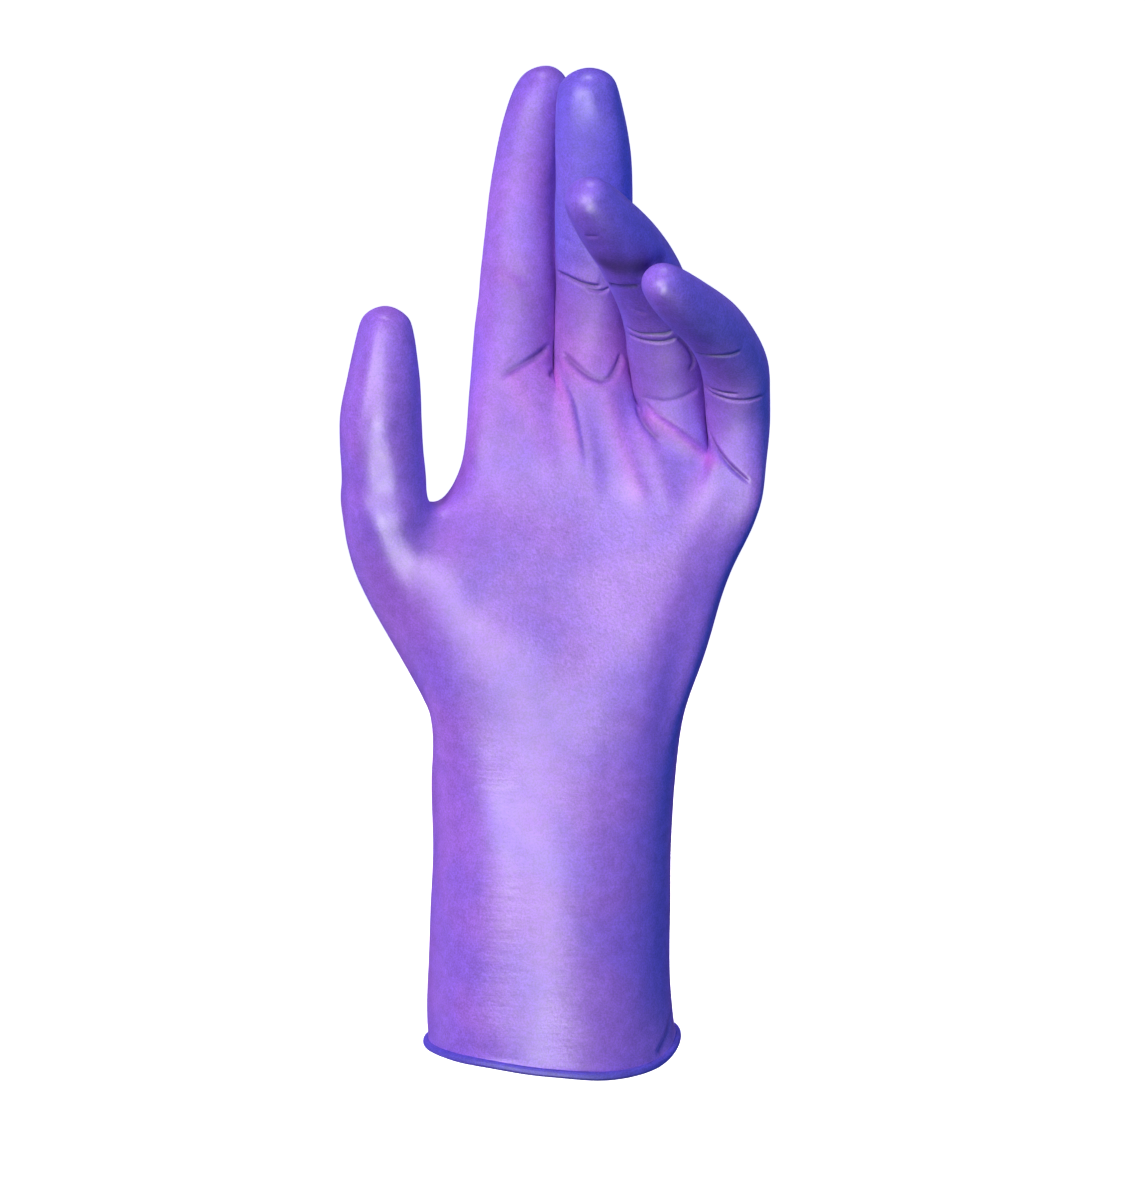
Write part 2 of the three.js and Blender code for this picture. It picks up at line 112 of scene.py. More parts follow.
# How much higher or lower the rim runs round the cuff, in even steps from the thumb's side through
# the front to the little finger's side and round the back
RIM_RISE = (1.7, 1.9, 1.5, -0.2, -1.5, -0.2, 3.4, 3.6, 2.6, 1.8, 1.5, 1.5)

# Soft swellings and hollows of the palm and the back, as smooth hills with a height and two spreads
MOUNDS = table("name face x z spread_x spread_z height", [
    ("thumb pad", -1, -32, 121, 15, 19, 8),
    ("little finger pad", -1, 34, 112, 12, 24, 4.5),
    ("heel of the palm", -1, -2, 106, 18, 10, 2.4),
    ("palm hollow", -1, 12, 134, 18, 18, -2.5),
    ("index knuckle", 1, -10, 150, 7, 8, 2),
    ("middle knuckle", 1, 10, 152, 7, 8, 2.5),
    ("ring knuckle", 1, 30, 148, 7, 8, 2),
    ("little knuckle", 1, 46, 140, 7, 8, 1),
])

# Stations along each finger, from its root to its tip: the middle of the section, its half width,
# and how far the pad and the back stand out from the middle. The last row is the end of the finger.
STATION = "x y z half pad back"
FINGERS = [
    {
        "name": "index",
        "root": {
            "middle": (-11, 0, 178),
            "across": (11.4, 0, 6.5),
            "pad": (0, -12, -5),
            "back": (0, 12, -8),
        },
        "stations": table(STATION, [
            (-10.2, 0.5, 190.5, 10.8, 10, 10),
            (-9.2, 0.5, 202.5, 10.2, 9.5, 9.6),
            (-8.9, 0, 211.5, 9.9, 9.1, 9.6),
            (-8.1, 0, 225, 9.0, 8.5, 8.4),
            (-6.9, 0.5, 237, 8.5, 8.1, 7.5),
            (-5.1, 0.5, 247, 8.2, 7.7, 6.9),
            (-2.9, 0, 256, 7.3, 6.7, 6.1),
            (0.2, -0.5, 264, 0, 0, 0),
        ]),
    },
    {
        "name": "middle",
        "root": {
            "middle": (11.1, 0.5, 181),
            "across": (9.9, 0, -2),
            "pad": (0, -12, -4),
            "back": (0, 12, -8),
        },
        "stations": table(STATION, [
            (10.7, 0, 191, 9.4, 9.6, 10),
            (10.7, -2, 201.5, 9.3, 9.3, 9.6),
            (11.0, -5.5, 211, 9.7, 9.1, 9.6),
            (11.2, -10, 222, 9.9, 9, 8.8),
            (11.1, -14, 233.5, 9.9, 8.9, 8),
            (10.5, -18, 245, 9.5, 8.4, 7.6),
            (9.5, -21.8, 254.7, 8.1, 6.8, 6.4),
            (9.2, -24.5, 262, 0, 0, 0),
        ]),
    },
    {
        "name": "ring",
        "root": {
            "middle": (31.5, -0.8, 172),
            "across": (8.6, 0, -4),
            "pad": (0, -11.5, -5),
            "back": (0, 11.5, -8),
        },
        "stations": table(STATION, [
            (31.1, -4.5, 181, 9.2, 9.2, 9.6),
            (30, -8.5, 189.5, 9.3, 9, 9.4),
            (28.3, -13, 197.8, 9.6, 8.9, 9.9),
            (26, -20.5, 205, 9.6, 8.7, 9.4),
            (22.3, -29.5, 212.4, 9.3, 8.5, 8.5),
            (18, -37.5, 218.5, 8.8, 8.4, 7.8),
            (14.1, -43.5, 223, 8.0, 7.8, 6.9),
            (10.5, -48.7, 227.3, 6.8, 6.6, 5.9),
            (7, -53.8, 231.8, 0, 0, 0),
        ]),
    },
    {
        "name": "little",
        "root": {
            "middle": (48.7, -5, 161),
            "across": (7.5, 0, -4),
            "pad": (0, -10, -4),
            "back": (0, 10.5, -5),
        },
        "stations": table(STATION, [
            (49.2, -7.5, 170, 8.3, 8.4, 9),
            (48.8, -10.5, 177.8, 8.5, 8.2, 8.8),
            (47.9, -15, 185, 8.7, 8.1, 9.1),
            (45.2, -21.3, 191, 8.3, 7.9, 8.5),
            (41.2, -28.3, 196.5, 7.9, 7.6, 7.7),
            (36.7, -34.8, 200.6, 7.5, 7.3, 7),
            (32.4, -40.2, 204, 6.9, 6.8, 6.2),
            (28.8, -44.6, 207, 6.0, 5.9, 5.4),
            (25.2, -49, 210.2, 0, 0, 0),
        ]),
    },
]
THUMB = {
    "name": "thumb",
    "root": {
        "middle": (-39.6, -8, 137.7),
        "across": (10.1, 1, 11.8),
        "pad": (-2, -16, 1),
        "back": (-3, 14, -1),
    },
    "stations": table(STATION, [
        (-43.6, -11.8, 148.5, 11.4, 12.5, 12),
        (-43.9, -14, 156, 11, 11.2, 11),
        (-44.3, -16.5, 163.5, 10.8, 10.3, 10.3),
        (-44.4, -18.7, 172.5, 10.6, 9.8, 10.1),
        (-43.5, -20.4, 182, 9.5, 9.3, 9),
        (-42.8, -21.4, 193.8, 7.5, 7.6, 7),
        (-42.5, -22.3, 201.8, 0, 0, 0),
    ]),
}

# Corner of a ring of eight points: 0.71 on an ellipse and 1 on a box
ROOT_FULLNESS = 0.86
FINGER_FULLNESS = 0.72

# The last ring before the end of a finger: how far on it lies, and its size beside the ring below
DOME_PLACE = 0.66
DOME_SIZE = 0.74

# How often the cage is corrected to lie on the wanted sizes, and how the palm's rows are evened out
FIT_ROUNDS = 8
RELAX_ROUNDS = 6
RELAX_SHARE = 0.5
RELAX_ROWS = (4, 5, 6, 7, 8)

# Rows of the cage that the thumb grows out of, and the order of points round every ring: the left
# side, the front from the thumb's side to the little finger's, the right side, and the back again
THUMB_ROWS = (5, 6, 7)
PER_FINGER = 3
ACROSS = PER_FINGER * len(FINGERS)
RING_SIZE = 2 * ACROSS + 2
LEFT_COLUMN = 0
RIGHT_COLUMN = ACROSS + 1


def front_column(k):
    return 1 + k


def back_column(k):
    return RING_SIZE - 1 - k


# The coarse cage, which the smooth surface stands for

def unit(vector):
    return vector / np.linalg.norm(vector)


def ring_of_eight(middle, across, pad, back, corner):
    """Left side, front left, front, front right, right side and round the back."""
    shares = [
        (-1, 0, 0),
        (-corner, corner, 0),
        (0, 1, 0),
        (corner, corner, 0),
        (1, 0, 0),
        (corner, 0, corner),
        (0, 0, 1),
        (-corner, 0, corner),
    ]
    return [middle + across * a + pad * p + back * b for a, p, b in shares]


def root_ring(finger):
    root = {name: np.array(value, float) for name, value in finger["root"].items()}
    return ring_of_eight(root["middle"], root["across"], root["pad"], root["back"], ROOT_FULLNESS)


def finger_rings(finger):
    """The rings above the root, square to the finger's own line, and the point at its tip."""
    stations = finger["stations"]
    middles = [np.array(finger["root"]["middle"], float)]
    middles += [np.array([s["x"], s["y"], s["z"]], float) for s in stations]
    across = unit(np.array(finger["root"]["across"], float))
    rings = []
    for i in range(1, len(middles) - 1):
        along = unit(middles[i + 1] - middles[i - 1])
        across = unit(across - along * (across @ along))
        outward = np.cross(across, along)
        station = stations[i - 1]
        rings.append((middles[i], across, outward, station, 1.0))
    last, tip = middles[-2:]
    dome = last + (tip - last) * DOME_PLACE
    rings.append((dome, across, outward, stations[-2], DOME_SIZE))
    made = [
        ring_of_eight(
            middle,
            side * station["half"] * size,
            front * station["pad"] * size,
            -front * station["back"] * size,
            FINGER_FULLNESS,
        )
        for middle, side, front, station, size in rings
    ]
    return made, tip


def finger_shares():
    """X of each column at the finger roots, from 0 at the left to 1 at the right."""
    roots = [root_ring(finger) for finger in FINGERS]
    left = roots[0][0][0]
    right = roots[-1][4][0]
    return [(ring[k][0] - left) / (right - left) for ring in roots for k in (1, 2, 3)]


def mound_height(face, x, z):
    total = 0.0
    for mound in MOUNDS:
        if mound["face"] != face:
            continue
        across = (x - mound["x"]) / mound["spread_x"]
        up = (z - mound["z"]) / mound["spread_z"]
        total += mound["height"] * math.exp(-0.5 * (across * across + up * up))
    return total


def rim_lift(section, share, face):
    """The rim's own rise at a place round it, smooth between the steps of the list."""
    if section["name"] != "rim":
        return 0.0
    turn = math.acos(-share) if face < 0 else 2 * math.pi - math.acos(-share)
    count = len(RIM_RISE)
    steps = turn / (2 * math.pi) * count
    first = math.floor(steps)
    near = (RIM_RISE[(first + k) % count] for k in (-1, 0, 1, 2))
    return curve(*near, steps - first)


def section_ring(section, shares):
    middle_x = (section["left"] + section["right"]) / 2
    half_width = (section["right"] - section["left"]) / 2

    def place(share, face, depth):
        reach = abs(share) ** section["fullness"]
        x = middle_x + half_width * share
        side = section["side"] + section["cup"] * ((1 + share) / 2) ** 2
        y = side + face * depth * max(0.0, 1 - reach) ** (1 / section["fullness"])
        z = section["z"] + section["slant"] * (x - middle_x) + rim_lift(section, share, face)
        if depth > 0:
            y += face * mound_height(face, x, z)
        return np.array([x, y, z])

    ring = [None] * RING_SIZE
    ring[LEFT_COLUMN] = place(-1, -1, 0)
    ring[RIGHT_COLUMN] = place(1, -1, 0)
    for k in range(ACROSS):
        even = math.cos(math.pi * (1 - (k + 1) / (ACROSS + 1)))
        share = even + (2 * shares[k] - 1 - even) * section["fingers"]
        ring[front_column(k)] = place(share, -1, section["front"])
        ring[back_column(k)] = place(share, 1, section["back"])
    return ring


def relax(points, quads, soft):
    """Evens out the palm and the back, where the film is stretched between the fingers."""
    near = {i: [] for i in soft}
    for quad in quads:
        for k, a in enumerate(quad):
            if a in near:
                near[a] += [quad[(k + 1) % 4], quad[(k + 3) % 4]]
    near = {i: list(dict.fromkeys(others)) for i, others in near.items() if others}
    for _ in range(RELAX_ROUNDS):
        targets = {i: np.mean([points[j] for j in others], axis=0) for i, others in near.items()}
        for i, target in targets.items():
            points[i] = points[i] + (target - points[i]) * RELAX_SHARE


def build_cage():
    """The whole surface as four-sided faces, with the finger or palm that each point belongs to."""
    points = []
    quads = []
    owners = []

    def add(point, owner="palm"):
        points.append(np.array(point, float))
        owners.append(owner)
        return len(points) - 1

    shares = finger_shares()
    rows = [[add(p) for p in section_ring(section, shares)] for section in SECTIONS]

    low, middle, high = THUMB_ROWS
    last_column = back_column(0)
    thumb_loop = [
        rows[low][LEFT_COLUMN],
        rows[low][front_column(0)],
        rows[middle][front_column(0)],
        rows[high][front_column(0)],
        rows[high][LEFT_COLUMN],
        rows[high][last_column],
        rows[middle][last_column],
        rows[low][last_column],
    ]
    for index, point in zip(thumb_loop, root_ring(THUMB)):
        points[index] = point

    top = [None] * RING_SIZE
    loops = []
    for f, finger in enumerate(FINGERS):
        loop = [add(p) for p in root_ring(finger)]
        for k in range(PER_FINGER):
            top[front_column(PER_FINGER * f + k)] = loop[1 + k]
            top[back_column(PER_FINGER * f + k)] = loop[7 - k]
        loops.append(loop)
    top[LEFT_COLUMN] = loops[0][0]
    top[RIGHT_COLUMN] = loops[-1][4]
    rows.append(top)

    for r in range(len(rows) - 1):
        for c in range(RING_SIZE):
            under_thumb = r in (low, middle) and c in (LEFT_COLUMN, last_column)
            if under_thumb:
                continue
            right = (c + 1) % RING_SIZE
            quads.append((rows[r][c], rows[r][right], rows[r + 1][right], rows[r + 1][c]))
    for a, b in zip(loops, loops[1:]):
        quads.append((a[3], b[1], b[0], a[4]))
        quads.append((a[4], b[0], b[7], a[5]))

    def grow(finger, loop):
        rings, tip = finger_rings(finger)
        below = loop
        for ring in rings:
            above = [add(p, finger["name"]) for p in ring]
            for k in range(8):
                right = (k + 1) % 8
                quads.append((below[k], below[right], above[right], above[k]))
            below = above
        end = add(tip, finger["name"])
        for k in range(0, 8, 2):
            quads.append((below[k], below[k + 1], below[(k + 2) % 8], end))

    for finger, loop in zip(FINGERS, loops):
        grow(finger, loop)
    grow(THUMB, thumb_loop)

    soft = [
        index
        for r in RELAX_ROWS
        for c, index in enumerate(rows[r])
        if c != LEFT_COLUMN and abs(c - RIGHT_COLUMN) > 1
    ]
    relax(points, quads, soft)

    used = sorted({i for quad in quads for i in quad})
    renumber = {old: new for new, old in enumerate(used)}
    points = np.array([points[i] for i in used])
    owners = [owners[i] for i in used]
    quads = np.array([[renumber[i] for i in quad] for quad in quads])
    return points, quads, owners


def fit_cage(points, quads):
    """Moves the cage until its smooth surface passes through the points it was given."""
    count = len(points)
    edges, single = mesh_edges(quads)
    rim_edges = edges[single]
    on_rim = np.zeros(count, bool)
    on_rim[rim_edges.ravel()] = True
    faces_at = np.bincount(quads.ravel(), minlength=count).astype(float)

    def smooth_places(cage):
        total = cage * (faces_at**2)[:, None]
        for k in range(4):
            np.add.at(total, quads[:, k], 4 * cage[quads[:, (k + 1) % 4]] + cage[quads[:, (k + 2) % 4]])
        places = total / (faces_at * (faces_at + 5))[:, None]
        rim = 4 * cage
        np.add.at(rim, rim_edges[:, 0], cage[rim_edges[:, 1]])
        np.add.at(rim, rim_edges[:, 1], cage[rim_edges[:, 0]])
        places[on_rim] = rim[on_rim] / 6
        return places

    cage = points.copy()
    for _ in range(FIT_ROUNDS):
        cage += points - smooth_places(cage)
    return cage


# The fine surface

FINE_LEVELS = 3
COARSE_LEVELS = 2
FINGER_NAMES = [finger["name"] for finger in FINGERS] + [THUMB["name"]]


def smooth_surface(points, quads, owners, levels):
    """The cage's smooth surface as points, quads and each point's share in each finger."""
    mesh = bpy.data.meshes.new("cage")
    mesh.from_pydata(points.tolist(), [], quads.tolist())
    for name in FINGER_NAMES:
        values = [1.0 if owner == name else 0.0 for owner in owners]
        layer = mesh.attributes.new(name, "FLOAT", "POINT")
        layer.data.foreach_set("value", values)
    cage = bpy.data.objects.new("cage", mesh)
    bpy.context.scene.collection.objects.link(cage)
    modifier = cage.modifiers.new("smooth", "SUBSURF")
    modifier.levels = levels
    modifier.render_levels = levels
    modifier.use_limit_surface = True
    modifier.boundary_smooth = "ALL"
    shown = cage.evaluated_get(bpy.context.evaluated_depsgraph_get())
    fine = shown.to_mesh()
    places = np.empty(len(fine.vertices) * 3)
    fine.vertices.foreach_get("co", places)
    corners = np.empty(len(fine.loops), int)
    fine.loops.foreach_get("vertex_index", corners)
    shares = {}
    for name in FINGER_NAMES:
        values = np.empty(len(fine.vertices))
        fine.attributes[name].data.foreach_get("value", values)
        shares[name] = values
    shown.to_mesh_clear()
    bpy.data.objects.remove(cage)
    bpy.data.meshes.remove(mesh)
    return places.reshape(-1, 3), corners.reshape(-1, 4), shares


def smoothstep(start, end, value):
    """0 before start and 1 past end, with a soft step between them."""
    t = np.clip((value - start) / (end - start), 0.0, 1.0)
    return t * t * (3 - 2 * t)


def quad_normals(points, quads):
    """The normal at each point, from the faces that meet there."""
    a, b, c, d = (points[quads[:, k]] for k in range(4))
    facing = np.cross(c - a, d - b)
    normals = np.zeros_like(points)
    for k in range(4):
        np.add.at(normals, quads[:, k], facing)
    return normals / np.linalg.norm(normals, axis=1)[:, None]


def mesh_edges(quads):
    """Each edge once, and whether it is on the rim."""
    pairs = np.concatenate([quads[:, [k, (k + 1) % 4]] for k in range(4)])
    edges, uses = np.unique(np.sort(pairs, axis=1), axis=0, return_counts=True)
    return edges, uses == 1


# The film between the fingers is evened out in rounds of two steps, which take out short bumps and
# keep the size. It gets a smaller share on the fingers, which begin over FINGER_SHARES.
EVEN_ROUNDS = 40
EVEN_STEPS = (0.5, -0.52)
EVEN_ON_FINGERS = 0.15
FINGER_SHARES = (0.3, 0.9)


def even_out(points, quads, shares):
    edges, on_rim = mesh_edges(quads)
    degree = np.bincount(edges.ravel(), minlength=len(points))[:, None]
    on_finger = smoothstep(*FINGER_SHARES, sum(shares.values()))
    strength = 1 - (1 - EVEN_ON_FINGERS) * on_finger
    strength[edges[on_rim].ravel()] = 0.0
    for _ in range(EVEN_ROUNDS):
        for step in EVEN_STEPS:
            total = np.zeros_like(points)
            np.add.at(total, edges[:, 0], points[edges[:, 1]])
            np.add.at(total, edges[:, 1], points[edges[:, 0]])
            points = points + step * strength[:, None] * (total / degree - points)
    return points


# Fingers that touch, with the line they meet on as X at two heights, and its Y. Walls are moved up to
# TOUCH_WALL behind the gap's side, and a little past each other, by TOUCH_OVERLAP.
TOUCHING = table("name low x_low high x_high y", [
    ("index and middle", 182, 0.4, 239, 1.0, -3),
    ("middle and ring", 174, 22.4, 197, 18.8, -5),
    ("ring and little", 163, 41.6, 190, 40.4, -10),
])
TOUCH_SPAN = 3.0
TOUCH_WALL = 5.0
TOUCH_OVERLAP = 0.07
TOUCH_FADE = 3.0
TOUCH_STEP = 0.5
TOUCH_EVENING = 3
TOUCH_BEHIND = (-1.5, -0.5)
TOUCH_FACING = (0.0, 0.6)
SIGHT_STEP = 0.06


def open_stretch(tree, line, y, height):
    """The left and right X of the gap that the camera sees through at a height, or the line twice."""
    eye = eye_place()
    clear = []
    for x in np.arange(line - TOUCH_SPAN, line + TOUCH_SPAN, SIGHT_STEP):
        sight = Vector((x, y, height)) - eye
        if tree.ray_cast(eye, sight.normalized())[0] is None:
            clear.append(x)
    return (clear[0], clear[-1]) if clear else (line, line)


def widest_near(values, count):
    """Each value raised to the largest within count steps, and then evened out over as many."""
    padded = np.pad(values, 2 * count, mode="edge")
    windows = np.lib.stride_tricks.sliding_window_view(padded, 2 * count + 1)
    return np.lib.stride_tricks.sliding_window_view(windows.max(axis=1), 2 * count + 1).mean(axis=1)


def close_gaps(points, quads):
    """Moves the facing walls of neighbouring fingers sideways until they touch."""
    normals = quad_normals(points, quads)
    tree = BVHTree.FromPolygons(points.tolist(), quads.tolist())
    moved = points.copy()
    for pair in TOUCHING:
        low, high = pair["low"], pair["high"]
        heights = np.arange(low - TOUCH_FADE, high + TOUCH_FADE, TOUCH_STEP)
        line = np.interp(heights, [low, high], [pair["x_low"], pair["x_high"]])
        ends = [open_stretch(tree, x, pair["y"], z) for x, z in zip(line, heights)]
        left, right = np.array(ends).T
        meeting = np.clip(line, left, right)
        gap = right > left
        window = smoothstep(heights[0], low, points[:, 2]) * smoothstep(heights[-1], high, points[:, 2])
        for side, wall in ((1, left), (-1, right)):
            push = np.where(gap, (meeting - wall) * side + TOUCH_OVERLAP, 0.0)
            push = np.interp(points[:, 2], heights, widest_near(push, TOUCH_EVENING))
            away = (np.interp(points[:, 2], heights, wall) - points[:, 0]) * side
            near = smoothstep(TOUCH_WALL, 0.0, away) * smoothstep(*TOUCH_BEHIND, away)
            facing = smoothstep(*TOUCH_FACING, normals[:, 0] * side)
            moved[:, 0] += side * push * near * facing * window
    return moved


# Soft unevenness of the film, as two layers of smooth noise with a size and a height in millimetres
UNEVENNESS = table("size stretch height", [
    (16.0, 1.0, 0.22),
    (5.0, 1.8, 0.05),
])


def roughen(points, normals):
    total = np.zeros(len(points))
    for layer in UNEVENNESS:
        scale = np.array([1 / (layer["size"] * layer["stretch"]), 1 / layer["size"], 1 / layer["size"]])
        places = points * scale
        total += layer["height"] * np.array([noise.noise(Vector(p)) for p in places])
    return points + normals * total[:, None]


# Folds of the film. A fold's groove is width wide and groove deep, or stands out as a ridge when below
# 0. The film bulges by above on the left of the way along it and by below on the right, as far as
# reach, and everything dies away over fade at both ends. finger is the only finger it is on, or any.
FOLD_COLUMNS = "name finger width groove above below reach fade points"

# Those of the palm were placed in the photograph: points are its pixels, from its top left
PHOTO_WIDTH = 1146
PHOTO_HEIGHT = 1200
PALM_FOLDS = table(FOLD_COLUMNS, [
    ("index joint", "index", 1.8, 0.5, 0.15, 0.6, 2.8, 5, [(486, 262), (497, 266), (509, 272), (523, 280),
     (535, 286)]),
    ("index joint crest", "index", 1.7, -0.5, 0, 0, 2, 4, [(490, 268), (498, 273), (508, 278), (520, 285),
     (528, 290)]),
    ("index joint, upper", "index", 1.6, 0.13, 0.1, 0, 3, 4, [(486, 251), (500, 254), (517, 261)]),
    ("index tip joint", "index", 1.8, 0.13, 0.1, 0.08, 3, 4, [(493, 193), (505, 196), (520, 199),
     (541, 206)]),
    ("index base", "any", 0.9, 0.9, 0.15, 1.1, 2.2, 4.5, [(497, 379), (508, 372.5), (520, 366),
     (532, 359), (543, 351), (551, 343)]),
    ("index base, upper", "any", 0.7, 0.28, 0.12, 0.2, 1.5, 3, [(500, 367), (510, 361), (520, 352)]),
    ("index base, fine", "any", 0.6, 0.12, 0.06, 0.06, 1.2, 3, [(496, 373), (505, 369), (515, 363),
     (526, 354)]),
    ("index base, thumb side", "any", 2.4, 0.3, 0, 0, 3, 8, [(482, 378), (493, 385), (505, 396),
     (514, 408), (522, 422), (528, 436)]),
    ("index base ray", "any", 3.2, -0.4, 0, 0, 3, 10, [(502, 368), (514, 384), (526, 404), (535, 422),
     (542, 442), (550, 464), (556, 488)]),
    ("index palm line", "any", 2.4, 0.25, 0, 0, 3, 6, [(480, 428), (495, 434), (510, 443), (524, 456)]),
    ("index and middle web", "any", 0.7, 0.5, 0.1, 0.3, 1.6, 1.2, [(553.5, 370), (547, 378)]),
    ("middle joint", "middle", 0.55, 0.8, 0.45, 0.2, 2.2, 1.5, [(557, 272), (566, 276), (578, 282),
     (590, 285.5), (601, 286.5)]),
    ("middle joint, lower", "middle", 0.5, 0.5, 0.15, 0.4, 1.4, 1.6, [(584, 287.5), (592, 290.5),
     (602, 291.5), (612, 288.5)]),
    ("middle joint, soft", "middle", 1.3, 0.22, 0.1, 0.1, 2, 2, [(560, 259), (572, 264), (586, 268),
     (597, 269)]),
    ("middle joint, upper", "middle", 1, 0.22, 0.15, 0.05, 2, 2, [(558, 236.5), (566, 240), (578, 246)]),
    ("middle tip joint", "middle", 1.5, 0.1, 0.06, 0.03, 2.4, 4, [(566, 143), (580, 146), (592, 148),
     (606, 146), (620, 141)]),
    ("middle base", "any", 0.9, 0.7, 0.15, 1.1, 1.9, 2.5, [(561, 352), (568, 359), (578, 368),
     (588, 375.5), (598, 380), (607, 380), (613, 374), (618, 364), (622, 352)]),
    ("palm ridge", "any", 1.2, 0.22, 0, 1.5, 4.6, 14, [(551, 352), (562, 374), (568, 386), (574, 401),
     (578, 418), (582, 438), (585, 458), (588, 478)]),
    ("fan, first", "any", 2.6, -0.25, 0, 0, 2, 10, [(586, 400), (588, 425), (592, 455), (597, 485),
     (601, 505)]),
    ("fan, first dip", "any", 2.6, 0.25, 0, 0, 2, 10, [(588, 378), (594, 410), (600, 440), (607, 472),
     (614, 510)]),
    ("fan, second", "any", 2.6, -0.65, 0, 0, 2, 10, [(602, 380), (611, 408), (620, 436), (629, 464),
     (640, 494), (650, 520)]),
    ("fan, second dip", "any", 2.4, 0.3, 0, 0, 2, 10, [(620, 396), (630, 422), (640, 450), (650, 478),
     (660, 502)]),
    ("fan, third", "any", 2.6, -0.45, 0, 0, 2, 10, [(626, 404), (640, 434), (654, 464), (668, 494),
     (680, 520)]),
    ("fan, thumb side dip", "any", 2.4, 0.2, 0, 0, 2, 10, [(546, 384), (554, 404), (560, 430), (565, 460),
     (570, 486)]),
    ("middle and ring crease", "any", 0.7, 0.55, 0, 0.2, 1.8, 2, [(636.5, 405), (640, 417), (648, 430),
     (660, 442)]),
    ("ring base crest", "any", 2, -0.75, 0, 0, 2, 4, [(643, 407), (654, 418), (668, 428), (683, 440),
     (697, 450), (711, 462), (722, 473)]),
    ("ring base, thin", "any", 0.6, 0.25, 0.1, 0, 2, 4, [(640, 399), (652, 409), (666, 419), (682, 430),
     (697, 442), (711, 455)]),
    ("ring base, dark side", "any", 1.7, 0.45, 0, 0, 2, 4, [(641, 417), (648, 430), (660, 442),
     (675, 451), (692, 461)]),
    ("ring base, upper", "any", 0.9, 0.3, 0, 0.4, 2, 3, [(639, 397), (650, 400), (665, 402), (680, 399),
     (693, 392), (700, 387)]),
    ("ring joint", "ring", 0.5, 0.7, 0.35, 0, 2, 1.5, [(626, 326.5), (634, 331), (643, 333.5), (656, 334),
     (668, 333), (675, 330)]),
    ("ring joint, lower", "ring", 0.5, 0.6, 0.2, 0.1, 1.6, 1.8, [(628, 334), (636, 338), (647, 341),
     (660, 342), (670, 340.5), (678, 337)]),
    ("ring tip joint", "ring", 0.9, 0.6, 0.6, 0, 2.2, 0.8, [(606, 283), (612, 284.5), (620, 286),
     (630, 286.5), (639, 286)]),
    ("ring middle fold", "ring", 2.2, 0.6, 0.3, 0.3, 2.5, 3, [(634, 279), (645, 271), (657, 263),
     (668, 256)]),
    ("ring pad", "ring", 0.6, 0.3, 0.15, 0.1, 1.5, 1.5, [(584, 235), (592, 236.5), (600, 236)]),
    ("ring pad, lower", "ring", 1.4, 0.35, 0.1, 0.1, 2, 2, [(584, 243), (593, 247), (604, 247)]),
    ("ring middle", "ring", 0.9, 0.25, 0.2, 0.2, 2, 2, [(622, 298), (628, 305), (637, 311), (650, 314)]),
    ("ring pinch", "any", 0.7, 0.5, 0.1, 0.1, 1.6, 2, [(676, 337), (686, 345), (692, 355), (693, 364),
     (687, 371)]),
    ("little tip joint", "little", 0.6, 0.5, 0.3, 0.05, 2, 1.8, [(694, 352), (702, 354.5), (715, 356),
     (730, 355), (742, 351)]),
    ("little joint", "little", 0.5, 0.45, 0.25, 0.1, 1.8, 2, [(704, 383), (712, 388.5), (720, 391.5),
     (730, 393.5), (740, 394)]),
    ("little joint, lower", "little", 0.5, 0.5, 0.15, 0.1, 1.8, 2, [(704.5, 386), (712, 393),
     (722, 397.5), (735, 400.5), (750, 400), (764, 395.5)]),
    ("little base", "any", 0.6, 0.55, 0.4, 0, 2.4, 3, [(706.5, 400), (707, 418), (710.5, 435), (718, 450),
     (730, 465), (743, 477), (752, 484)]),
    ("ring shade", "ring", 3.8, 0.1, 0, 0, 3, 5, [(584, 252), (598, 260), (612, 266), (628, 267),
     (644, 262), (656, 256)]),
    ("thumb root", "any", 11, -0.9, 0, 0, 3, 16, [(436, 510), (440, 540), (447, 570), (458, 600),
     (470, 625)]),
    ("heel band", "any", 9, -0.35, 0, 0, 3, 18, [(385, 535), (401, 557), (438, 592), (477, 624),
     (515, 644), (553, 658), (595, 664)]),
    ("wrist hollow", "any", 9, 0.7, 0, 0, 3, 20, [(436, 700.5), (475, 712.5), (515, 716.5), (560, 712.5),
     (612, 702.5)]),
    ("thumb crest", "any", 4, 0.6, 0, 0, 3, 14, [(372, 425), (378, 465), (385, 505), (395, 540),
     (410, 570), (428, 598)]),
    ("thumb joint", "thumb", 1.5, 0.16, 0.08, 0.08, 3, 5, [(352, 430), (366, 431), (385, 431), (402, 432),
     (416, 434)]),
    ("cuff pucker", "any", 1.1, 0.5, 0.5, 0, 2.5, 1.5, [(656, 1056), (662, 1045.5), (667, 1033.5),
     (670, 1019), (671, 1008.5)]),
])

